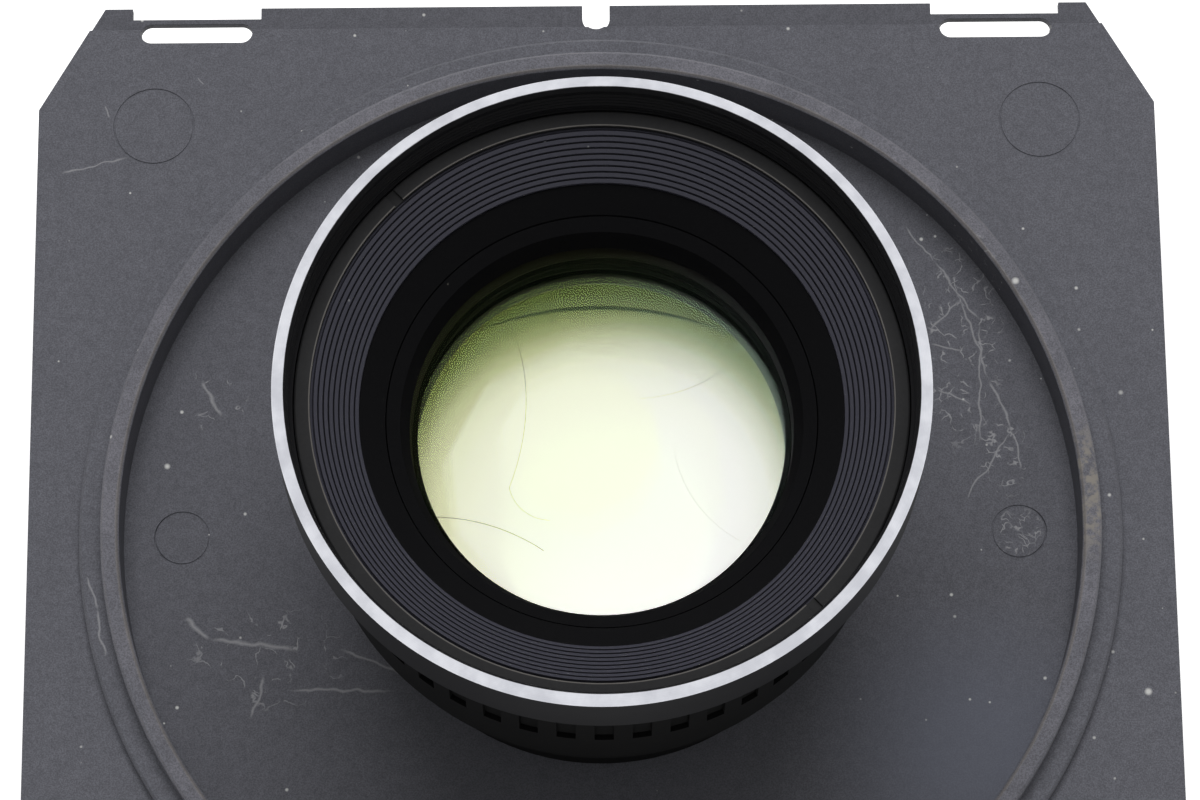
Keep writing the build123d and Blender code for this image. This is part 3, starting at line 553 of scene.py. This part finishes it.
def make_black_anodised(name, level, tint=0.0, wear_and_highlight_edges=(), wear_and_highlight_colour=(0.55, 0.54, 0.52), specular=0.3,
                        roughness=0.42):
    """Black anodised aluminium with lathe marks, paler along the edges named: worn to bare metal on the barrel
    and stop ring, a painted highlight on the retaining ring's inner edge.
    """
    material, tree, shader = finish(name)
    place = use(tree, turned_place)
    uneven = use(tree, grain, Fine_size=0.35, Coarse_size=5.0)
    marks = use(tree, turning_marks, Pitch=0.10, Radius=place["Radius"], Height=place["Height"])["Value"]
    plain = mix(tree, uneven[1], (level, level, level * (1 + tint), 1),
                (level * 1.5, level * 1.5, level * (1.5 + tint), 1))
    colour = shade(tree, plain, mix(tree, uneven[0], grey(0.8), grey(1.2)))
    specks = use(tree, dust, Spacing=3.0, Speck=0.09, Share=0.3)["Mask"]
    colour = mix(tree, calc(tree, "MULTIPLY", specks, 0.5), colour, (0.4, 0.4, 0.38, 1))
    rough = calc(tree, "ADD", roughness, calc(tree, "MULTIPLY", marks, 0.12))
    if wear_and_highlight_edges:
        worn_and_lit = highest(tree, [use(tree, edge_wear_and_highlight, Radius=place["Radius"], Height=place["Height"],
                                  Edge_radius=radius, Edge_height=height, Width=0.16, Cover=cover)["Mask"]
                              for radius, height, cover in wear_and_highlight_edges])
        colour = mix(tree, worn_and_lit, colour, (*wear_and_highlight_colour, 1))
        if max(wear_and_highlight_colour) > 0.3:
            tree.links.new(worn_and_lit, shader.inputs["Metallic"])
    dress(tree, shader, colour, rough, height=marks, bump=0.25, depth=0.01)
    shader.inputs["Specular IOR Level"].default_value = specular
    return material


COLLAR_RIM_LOW = 46.45
RIM_INNER = 28.93


def make_collar_black():
    """Black collar whose front rim is turned bare and bright."""
    material, tree, shader = finish("collar_black")
    place = use(tree, turned_place)
    uneven = use(tree, grain, Fine_size=0.35, Coarse_size=3.0)
    marks = use(tree, turning_marks, Pitch=0.07, Radius=place["Radius"], Height=0.0)["Value"]
    black = mix(tree, uneven[1], (0.008, 0.008, 0.009, 1), (0.014, 0.014, 0.015, 1))
    ragged = calc(tree, "MULTIPLY", calc(tree, "SUBTRACT", uneven[1], 0.5), 0.12)
    up = calc(tree, "ADD", place["Height"], ragged)
    out = calc(tree, "ADD", place["Radius"], ragged)
    bare = calc(tree, "MULTIPLY", step(tree, up, COLLAR_RIM_LOW, COLLAR_RIM_LOW + 0.06),
                step(tree, out, RIM_INNER - 0.04, RIM_INNER + 0.02))
    bright = mix(tree, step(tree, uneven[1], 0.3, 0.7), (0.60, 0.61, 0.66, 1), (0.76, 0.77, 0.82, 1))
    colour = mix(tree, bare, black, shade(tree, bright, mix(tree, marks, grey(0.92), grey(1.06))))
    rough = calc(tree, "ADD", calc(tree, "MULTIPLY", bare, -0.08),
                 calc(tree, "ADD", 0.42, calc(tree, "MULTIPLY", marks, 0.08)))
    tree.links.new(bare, shader.inputs["Metallic"])
    dress(tree, shader, colour, rough, height=marks, bump=0.15, depth=0.01)
    shader.inputs["Specular IOR Level"].default_value = 0.06
    return material


BAFFLE_INNER, BAFFLE_OUTER, BAFFLE_RIBS = 22.4, 26.55, 9


def make_baffle_black():
    """Blue-black anodised ribs with painted shade darkening the grooves between them."""
    material, tree, shader = finish("baffle_black")
    place = use(tree, turned_place)
    uneven = use(tree, grain, Fine_size=0.3, Coarse_size=4.0)
    pitch = (BAFFLE_OUTER - BAFFLE_INNER) / BAFFLE_RIBS
    outwards = calc(tree, "SUBTRACT", place["Radius"], BAFFLE_INNER)
    phase = calc(tree, "FRACT", calc(tree, "DIVIDE", outwards, pitch))
    # painted shade: the grooves between the ribs are made nearly black
    groove_shade = band_mask(tree, phase, 0.70, 0.98, 0.06)
    inside = step(tree, place["Radius"], BAFFLE_OUTER, BAFFLE_OUTER - 0.1)
    land = mix(tree, uneven[0], (0.024, 0.024, 0.033, 1), (0.040, 0.040, 0.054, 1))
    colour = mix(tree, calc(tree, "MULTIPLY", groove_shade, inside), land, (0.004, 0.004, 0.005, 1))
    specks = use(tree, dust, Spacing=2.5, Speck=0.08, Share=0.25)["Mask"]
    colour = mix(tree, calc(tree, "MULTIPLY", specks, 0.4), colour, (0.4, 0.4, 0.4, 1))
    dress(tree, shader, colour, 0.5, height=uneven[0], bump=0.2, depth=0.01)
    shader.inputs["Specular IOR Level"].default_value = 0.3
    return material


def make_matt_black():
    """Flat black lacquer that kills stray light inside the barrel."""
    material, tree, shader = finish("matt_black")
    uneven = use(tree, grain, Fine_size=0.25, Coarse_size=3.0)
    colour = mix(tree, uneven[0], (0.0035, 0.0035, 0.004, 1), (0.007, 0.007, 0.0075, 1))
    specks = use(tree, dust, Spacing=3.2, Speck=0.08, Share=0.3)["Mask"]
    colour = mix(tree, calc(tree, "MULTIPLY", specks, 0.35), colour, (0.35, 0.34, 0.3, 1))
    dress(tree, shader, colour, 0.72, height=uneven[0], bump=0.3, depth=0.01)
    shader.inputs["Specular IOR Level"].default_value = 0.03
    return material


def make_metal(name, dark, light, roughness, pitch=0.1):
    """Bare metal, turned or ground."""
    material, tree, shader = finish(name)
    place = use(tree, turned_place)
    uneven = use(tree, grain, Fine_size=0.2, Coarse_size=2.5)
    marks = use(tree, turning_marks, Pitch=pitch, Radius=place["Radius"], Height=place["Height"])["Value"]
    colour = mix(tree, uneven[1], (*dark, 1), (*light, 1))
    rough = calc(tree, "ADD", roughness, calc(tree, "MULTIPLY", uneven[0], 0.15))
    dress(tree, shader, colour, rough, height=marks, bump=0.2, depth=0.008)
    shader.inputs["Metallic"].default_value = 1.0
    return material


def make_white_paint():
    """White filled numerals and marks, a little dirty."""
    material, tree, shader = finish("index_white")
    uneven = use(tree, grain, Fine_size=0.1, Coarse_size=0.8)
    colour = mix(tree, step(tree, uneven[1], 0.55, 0.8), (0.80, 0.79, 0.75, 1), (0.55, 0.54, 0.50, 1))
    dress(tree, shader, colour, 0.5, height=uneven[0], bump=0.2, depth=0.005)
    return material


def make_glass(name, ior):
    """Clear optical glass with a thin coating, a little dusty; returns its colour so far."""
    material, tree, shader = finish(name)
    specks = use(tree, dust, Spacing=2.6, Speck=0.05, Share=0.3)["Mask"]
    colour = mix(tree, calc(tree, "MULTIPLY", specks, 0.25), (0.99, 0.99, 0.985, 1), (0.6, 0.6, 0.55, 1))
    shader.inputs["Roughness"].default_value = 0.0
    shader.inputs["Metallic"].default_value = 0.0
    shader.inputs["Transmission Weight"].default_value = 1.0
    shader.inputs["IOR"].default_value = ior
    shader.inputs["Specular Tint"].default_value = (0.05, 0.075, 0.05, 1)
    return material, tree, shader, colour


CROWN_INDEX = 1.62
FLINT_INDEX = 1.64

# (x, y, radius, first bearing, last bearing, width)
DARK_HAIRS = [(-18.5, -31.5, 23.3, 56, 83, 0.08), (-29.0, 1.9, 22.0, -22, 21, 0.05),
              (-4.7, -5.5, 4.0, -168, -93, 0.05), (2.7, 14.6, 12.8, -86, -40, 0.04),
              (17.8, 5.2, 4.1, -163, -92, 0.05), (16.6, -1.8, 10.0, -173, -113, 0.035)]
# (x and y of one end, x and y of the other, width)
PALE_SCRATCHES = [(12.7, 10.6, 8.7, 6.2, 0.10), (12.4, 6.4, 9.4, 3.7, 0.10), (-8.85, -11.3, -8.4, -15.6, 0.09),
                  (-7.8, -12.3, -7.5, -16.1, 0.09), (-16.8, 6.8, -14.5, 5.6, 0.08),
                  (-17.3, -5.85, -16.5, -5.75, 0.08)]


def make_front_glass():
    """Outer glass: a painted reflection tint running olive-yellow to white, two faint pale ten-sided painted
    pools of light, hairs and a few fine scratches.
    """
    material, tree, shader, colour = make_glass("front_coated_glass", CROWN_INDEX)
    where = add(tree, "ShaderNodeSeparateXYZ", {0: in_millimetres(tree)})
    # painted reflection: the coating's tint runs from olive-yellow on one side to white on the other
    across = calc(tree, "SUBTRACT", where.outputs[0], calc(tree, "MULTIPLY", where.outputs[1], 0.5))
    painted_reflection_and_light_pool = mix(tree, step(tree, across, -12.0, 8.0), (0.80, 0.79, 0.58, 1), (0.98, 0.96, 1.0, 1))
    # painted pools of light: pale ten-sided patches shaped like the iris opening
    wide = use(tree, many_sided, X=-1.5, Y=-5.0, Reach=12.5, Turn=0.2, Soft=0.5)["Mask"]
    painted_reflection_and_light_pool = mix(tree, calc(tree, "MULTIPLY", wide, 0.5), painted_reflection_and_light_pool, (1.0, 1.0, 0.93, 1))
    small = use(tree, many_sided, X=-2.0, Y=-1.9, Reach=7.2, Turn=0.2, Soft=0.35)["Mask"]
    painted_reflection_and_light_pool = mix(tree, calc(tree, "MULTIPLY", small, 0.75), painted_reflection_and_light_pool, (1.0, 1.0, 0.86, 1))
    colour = shade(tree, colour, painted_reflection_and_light_pool)
    hairs = highest(tree, [use(tree, arc_mark, X=x, Y=y, Radius=r, From=a, To=b, Width=w)["Mask"]
                           for x, y, r, a, b, w in DARK_HAIRS])
    on_front = step(tree, use(tree, turned_place)["Height"], 30.5, 31.5)
    hairs = calc(tree, "MULTIPLY", hairs, on_front)
    colour = mix(tree, calc(tree, "MULTIPLY", hairs, 0.9), colour, (0.045, 0.045, 0.02, 1))
    scratches = highest(tree, [use(tree, line_mark, X1=a, Y1=b, X2=c, Y2=d, Width=w)["Mask"]
                               for a, b, c, d, w in PALE_SCRATCHES])
    colour = mix(tree, calc(tree, "MULTIPLY", scratches, 0.5), colour, (1.0, 1.0, 0.85, 1))
    tree.links.new(colour, shader.inputs["Base Color"])
    return material


# middle of a painted pool of light, and (distance from it, colour): olive painted shade darkening outwards from
# it
LIGHT_POOL_X, LIGHT_POOL_Y = 0.2, -2.1
LIGHT_POOL_TONES = [(8.5, (1.0, 1.0, 0.97)), (10.5, (0.95, 0.95, 0.90)), (12.0, (0.85, 0.86, 0.78)),
               (13.5, (0.60, 0.62, 0.50)), (14.5, (0.35, 0.38, 0.25)), (15.5, (0.17, 0.20, 0.09)),
               (17.0, (0.07, 0.09, 0.02)), (18.5, (0.03, 0.045, 0.01))]


def make_plain_glass(name, ior):
    material, tree, shader, colour = make_glass(name, ior)
    tree.links.new(colour, shader.inputs["Base Color"])
    return material


def make_light_pool_glass():
    """The third glass, with a painted pool of light near its middle and olive painted shade darkening towards
    its edge.
    """
    material, tree, shader, colour = make_glass("light_pool_olive_glass", FLINT_INDEX)
    away = length_of(tree, *offset_from(tree, LIGHT_POOL_X, LIGHT_POOL_Y))
    toned = shade(tree, colour, ramp(tree, away, 8.0, 20.0, LIGHT_POOL_TONES))
    tree.links.new(toned, shader.inputs["Base Color"])
    return material


board_plastic = make_board_plastic()
barrel_black = make_black_anodised("barrel_black", 0.005, wear_and_highlight_edges=((26.6, 12.9, 0.35), (26.55, 16.4, 0.35)),
                                   specular=0.03, roughness=0.5)
ring_black = make_black_anodised("ring_black", 0.005, wear_and_highlight_edges=((27.2, 16.7, 0.4), (27.2, 30.5, 0.45)),
                                 specular=0.03, roughness=0.5)
# painted highlight: the pale grey line round the retaining ring's inner edge
trim_black = make_black_anodised("trim_black", 0.016, tint=0.05, wear_and_highlight_edges=((26.75, 42.35, 0.75),),
                                 wear_and_highlight_colour=(0.10, 0.095, 0.09), specular=0.12, roughness=0.5)
collar_black = make_collar_black()
baffle_black = make_baffle_black()
matt_black = make_matt_black()
dark_steel = make_metal("dark_steel", (0.10, 0.10, 0.11), (0.17, 0.17, 0.18), 0.34)
ball_steel = make_metal("ball_steel", (0.62, 0.62, 0.63), (0.72, 0.72, 0.72), 0.10)
blade_steel = make_metal("blade_steel", (0.035, 0.035, 0.04), (0.06, 0.06, 0.065), 0.45)
index_white = make_white_paint()
bore_metal = make_metal("bore_metal", (0.80, 0.80, 0.78), (0.90, 0.90, 0.88), 0.22)
front_glass = make_front_glass()
inner_glass = make_plain_glass("inner_coated_glass", FLINT_INDEX)
light_pool_glass = make_light_pool_glass()
rear_glass = make_plain_glass("rear_coated_glass", CROWN_INDEX)


# ------------------------------------------------------------------ board and rings
# (x, y, radius)
PIN_MARKS = [(45.2, 43.1, 4.15), (-45.2, 43.1, 4.15), (45.2, -43.1, 4.15), (-45.2, -43.1, 4.15),
             (41.8, 0.0, 2.8), (-41.8, 0.0, 2.8)]


def on_pin_mark(edge):
    """True for the edges of the fine circles left by the moulding pins."""
    middle = (edge.verts[0].co + edge.verts[1].co) / 2 / MM
    return any(abs(math.hypot(middle.x - x, middle.y - y) - radius + 0.1) < 0.2
               for x, y, radius in PIN_MARKS)


def make_board():
    return piece("board", copy_of("lens_board"), "barrel", [board_plastic],
                 nodes=["lens_board"], edge=0.14, segments=3, is_fine=on_pin_mark)


def make_collar():
    low = over_face(foot_of("front_collar"))
    high = over_face(top_of("front_collar"))
    outer = radius_of("front_collar")
    bore = 28.6
    mouth = high - 0.6
    bore_end = 42.4
    seat = 41.0
    seat_radius = 28.3
    neck = 26.35
    grooves = thread(bore, bore_end + 0.15, mouth - 0.25, 0.75, -0.32)
    outline = [(neck, low), (outer - 0.6, low), (outer, low + 0.3), (outer, high - 0.35),
               (28.95, high), (bore, mouth)]
    outline += grooves[::-1]
    outline += [(bore, bore_end), (seat_radius, bore_end), (seat_radius, seat), (neck, seat)]
    return piece("collar", lathe(outline), "barrel", [collar_black],
                 nodes=["front_collar"], edge=0.06)


def make_retaining_ring():
    return piece("retaining_ring", copy_of("front_retaining_ring"), "barrel", [trim_black],
                 nodes=["front_retaining_ring"], edge=0.07)


def make_ribbed_ring():
    return piece("ribbed_ring", copy_of("ribbed_baffle_ring"), "barrel", [baffle_black],
                 nodes=["ribbed_baffle_ring"], edge=0.035)


REAR_BORE_REACH = 16.6               # faces within this radius and under this height are bright bore
REAR_BORE_TOP = 11.5


def bored_piece(name, node, finishes, reach, high, edge):
    """A turned tube whose inner faces, up to a height, have the second finish."""
    turned = copy_of(node)
    for face in turned.faces:
        out = max(math.hypot(vert.co.x, vert.co.y) for vert in face.verts) / MM
        up = over_face(face.calc_center_median().z / MM)
        face.material_index = 1 if out < reach and up < high and face.normal.z > -0.8 else 0
    piece(name, turned, "barrel", finishes, nodes=[node], edge=edge)


def make_barrels():
    piece("main_tube", copy_of("main_barrel"), "barrel", [barrel_black],
          nodes=["main_barrel"], edge=0.05)
    piece("front_tube", copy_of("front_barrel"), "barrel", [barrel_black],
          nodes=["front_barrel"], edge=0.10)
    piece("locking_ring", copy_of("jam_ring"), "barrel", [ring_black],
          nodes=["jam_ring"], edge=0.12)
    bored_piece("front_cell_tube", "front_cell", (matt_black, trim_black),
                reach=18.9, high=31.0, edge=0.03)
    piece("front_glass_ring_turned", copy_of("front_glass_ring"), "barrel", [matt_black],
          nodes=["front_glass_ring"], edge=0.03)
    bored_piece("rear_cell_tube", "rear_cell", (barrel_black, bore_metal),
                reach=REAR_BORE_REACH, high=REAR_BORE_TOP, edge=0.08)
    bored_piece("rear_glass_ring_turned", "rear_glass_ring", (barrel_black, bore_metal),
                reach=REAR_BORE_REACH, high=REAR_BORE_TOP, edge=0.05)


def make_aperture_ring():
    return piece("stop_ring", copy_of("aperture_ring"), "aperture", [ring_black],
                 nodes=["aperture_ring"], edge=0.07)


# ------------------------------------------------------------------ stop scale
STOPS = (4.5, 5.6, 8, 11, 16, 22, 32)
INDEX_BEARING = 90.0
OPEN_RADIUS = 14.9
PIVOT_RADIUS = 21.0
BLADE_SHARE = 0.5914614              # degrees of blade for each degree of the ring
NUMERAL_SIZE = 2.0
NUMERAL_HEIGHT = 4.2                 # middle of the numerals over the ring's lower end
TICK_HEIGHT = 1.5
PAINT_THICKNESS = 0.03
PAINT_SINK = 0.012                   # depth of the paint's foot in the ring


def stop_angle(f_number):
    """Turn of the ring, in degrees, that closes the iris to an f-number."""
    opening = OPEN_RADIUS * STOPS[0] / f_number
    return 2 * math.degrees(math.asin((OPEN_RADIUS - opening) / (2 * PIVOT_RADIUS))) / BLADE_SHARE


def wrap_on_ring(bm, radius, bearing, height):
    """Bends flat shapes, drawn in X and Y with Z as thickness, on to a cylinder at a bearing."""
    for vert in bm.verts:
        angle = math.radians(bearing) + vert.co.x / (radius * MM)
        reach = radius * MM + vert.co.z
        vert.co = (reach * math.cos(angle), reach * math.sin(angle), height * MM + vert.co.y)


def numeral(text, size):
    """Flat numeral as a mesh of faces, centred on its own width."""
    drawn = bpy.data.curves.new("numeral", "FONT")
    drawn.body = text
    drawn.size = size * MM
    drawn.align_x = "CENTER"
    drawn.align_y = "CENTER"
    drawn.space_character = 0.95
    drawn.resolution_u = 6
    holder = bpy.data.objects.new("numeral", drawn)
    bpy.context.scene.collection.objects.link(holder)
    bpy.context.view_layer.update()
    mesh = bpy.data.meshes.new_from_object(holder.evaluated_get(bpy.context.evaluated_depsgraph_get()))
    bm = bmesh.new()
    bm.from_mesh(mesh)
    bpy.data.objects.remove(holder)
    bpy.data.curves.remove(drawn)
    bpy.data.meshes.remove(mesh)
    bmesh.ops.remove_doubles(bm, verts=bm.verts, dist=1e-6)
    return bm


def thicken(bm, thickness):
    """Flat faces given a thickness towards +Z."""
    for face in bm.faces:
        if face.normal.z < 0:
            face.normal_flip()
    grown = bmesh.ops.extrude_face_region(bm, geom=bm.faces[:])
    moved = [item for item in grown["geom"] if isinstance(item, bmesh.types.BMVert)]
    bmesh.ops.translate(bm, verts=moved, vec=(0, 0, thickness * MM))
    bmesh.ops.recalc_face_normals(bm, faces=bm.faces)


def make_scale():
    """White numerals and tick marks on the plain band of the stop ring."""
    low = foot_of("aperture_ring")
    outer = radius_of("aperture_ring")
    for f_number in STOPS:
        bearing = INDEX_BEARING - stop_angle(f_number)
        label = f"{f_number:g}"
        plain = label.replace(".", "_")
        digits = numeral(label, NUMERAL_SIZE)
        bmesh.ops.scale(digits, vec=(0.88, 1.0, 1.0), verts=digits.verts)
        thicken(digits, PAINT_THICKNESS)
        wrap_on_ring(digits, outer - PAINT_SINK, bearing, low + NUMERAL_HEIGHT)
        piece(f"stop_numeral_{plain}", digits, "aperture", [index_white])
        tick = bmesh.new()
        bmesh.ops.create_grid(tick, x_segments=1, y_segments=1, size=0.5 * MM)
        bmesh.ops.scale(tick, vec=(0.22, 1.5, 1.0), verts=tick.verts)
        thicken(tick, PAINT_THICKNESS)
        wrap_on_ring(tick, outer - PAINT_SINK, bearing, low + TICK_HEIGHT)
        piece(f"stop_mark_{plain}", tick, "aperture", [index_white])


# ------------------------------------------------------------------ glass
def make_lens(name, outline, nodes, glass, rim=None):
    """One closed glass body; its ground rim is blackened unless another finish is named."""
    bm = lathe(outline, steps=192, closed=False)
    for face in bm.faces:
        face.material_index = 1 if abs(face.normal.z) < 0.3 else 0
    return piece(name, bm, "barrel", [glass, rim or matt_black], nodes=nodes)


def make_glasses():
    rim = 18.6
    front = arc_points(36.99, 42.0, 0, rim, 22)
    back = arc_points(29.2, 300.0, 0, rim, 22)
    make_lens("front_doublet", front + back[::-1], ["glass_element_1", "glass_element_2"], front_glass)
    rim = 16.9
    front = arc_points(27.2, 90.0, 0, rim, 20)
    back = arc_points(25.4, 120.0, 0, rim, 20)
    make_lens("inner_front_lens", front + back[::-1], ["glass_element_3"], inner_glass)
    rim = 16.3
    front = arc_points(14.5, -70.0, 0, rim, 20)
    back = arc_points(12.2, -62.0, 0, rim, 20)
    make_lens("inner_rear_lens", front + back[::-1], ["glass_element_4"], light_pool_glass)
    front = arc_points(-1.5, 200.0, 0, rim, 20)
    back = arc_points(-7.0, -140.0, 0, rim, 20)
    make_lens("rear_doublet", front + back[::-1], ["glass_element_5", "glass_element_6"], rear_glass,
              rim=bore_metal)


# ------------------------------------------------------------------ nodes that stay
def refinish_small_parts():
    refinish("set_screws", dark_steel)
    refinish("drive_screw", dark_steel)
    refinish("front_spacer", matt_black)
    refinish("rear_inner_ring", matt_black)
    refinish("iris_housing", matt_black)
    refinish("iris_drive_ring", matt_black)
    refinish("iris_snap_ring", dark_steel)
    refinish("click_ball", ball_steel)
    refinish("click_spring", ball_steel)
    refinish("index_dot", index_white)
    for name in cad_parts:
        if name.startswith("iris_blade"):
            refinish(name, blade_steel)


make_board()
make_collar()
make_retaining_ring()
make_ribbed_ring()
make_barrels()
make_aperture_ring()
make_scale()
make_glasses()
refinish_small_parts()


# ------------------------------------------------------------------ studio
AMBIENT = 0.28                       # what the pale room gives a surface
FLOOR_GLOW = 0.62                    # share of the floor's white that shadows can't take away
THROUGH_GLOW = 0.88                  # the same where the floor is seen through glass or in gloss


def light_path_share(tree, labels):
    """1 for rays of any of the kinds named."""
    path = add(tree, "ShaderNodeLightPath")
    return highest(tree, [path.outputs[label] for label in labels])


def make_room():
    """White room: full white where it is seen, in gloss and through glass; plain grey light on surfaces."""
    world = bpy.data.worlds.new("pale_room")
    bpy.context.scene.world = world
    world.use_nodes = True
    tree = world.node_tree
    tree.nodes.clear()
    seen = light_path_share(tree, ("Is Camera Ray", "Is Glossy Ray", "Is Transmission Ray"))
    strength = calc(tree, "ADD", AMBIENT, calc(tree, "MULTIPLY", seen, 1 - AMBIENT))
    background = add(tree, "ShaderNodeBackground", {"Color": grey(1.0), "Strength": strength})
    output = add(tree, "ShaderNodeOutputWorld")
    tree.links.new(background.outputs[0], output.inputs[0])


def make_floor():
    """Plain white table that keeps the object's shadow."""
    material, tree, shader = finish("table_white")
    path = add(tree, "ShaderNodeLightPath")
    through = calc(tree, "MAXIMUM", path.outputs["Is Transmission Ray"], path.outputs["Is Glossy Ray"])
    glow = calc(tree, "MAXIMUM", calc(tree, "MULTIPLY", through, THROUGH_GLOW),
                calc(tree, "MULTIPLY", path.outputs["Is Camera Ray"], FLOOR_GLOW))
    dress(tree, shader, (0.8, 0.8, 0.8, 1), 0.9)
    shader.inputs["Specular IOR Level"].default_value = 0.0
    shader.inputs["Emission Color"].default_value = grey(1.0)
    tree.links.new(glow, shader.inputs["Emission Strength"])
    bm = bmesh.new()
    bmesh.ops.create_grid(bm, x_segments=1, y_segments=1, size=4.0)
    mesh = bpy.data.meshes.new("table_top")
    bm.to_mesh(mesh)
    bm.free()
    mesh.materials.append(material)
    table = bpy.data.objects.new("table_top", mesh)
    bpy.context.scene.collection.objects.link(table)


def make_lamp(name, bearing, elevation, distance, size, power):
    """Soft round lamp aimed at the lens; bearing 90 is the +Y side."""
    lamp = bpy.data.lights.new(name, "AREA")
    lamp.shape = "DISK"
    lamp.size = size
    lamp.energy = power
    flat = math.cos(math.radians(elevation))
    way = Vector((flat * math.cos(math.radians(bearing)), flat * math.sin(math.radians(bearing)),
                  math.sin(math.radians(elevation))))
    made = bpy.data.objects.new(name, lamp)
    made.location = way * distance
    made.rotation_euler = (-way).to_track_quat("-Z", "Y").to_euler()
    made.visible_glossy = False
    bpy.context.scene.collection.objects.link(made)


CAMERA_LENS = 150.47                 # on a 36 mm wide sensor
CAMERA_OVER_FACE = 479.3
CAMERA_ASIDE = -2.45
CAMERA_BACK = -139.35
CAMERA_TILT = 17.68
CAMERA_ROLL = -0.552
CAMERA_SWING = -0.297


def make_camera():
    lens = bpy.data.cameras.new("camera")
    lens.sensor_width = 36.0
    lens.lens = CAMERA_LENS
    lens.clip_start = 0.01
    lens.clip_end = 50.0
    camera = bpy.data.objects.new("camera", lens)
    place = Matrix.Translation((CAMERA_ASIDE * MM, CAMERA_BACK * MM, (FACE + CAMERA_OVER_FACE) * MM))
    turn = (Matrix.Rotation(math.radians(CAMERA_SWING), 4, "Y")
            @ Matrix.Rotation(math.radians(CAMERA_TILT), 4, "X")
            @ Matrix.Rotation(math.radians(CAMERA_ROLL), 4, "Z"))
    camera.matrix_world = place @ turn
    bpy.context.scene.collection.objects.link(camera)
    bpy.context.scene.camera = camera


make_room()
make_floor()
make_lamp("key_lamp", 92, 70, 0.90, 0.60, 7.0)
make_camera()
bpy.context.scene.view_settings.view_transform = "Standard"
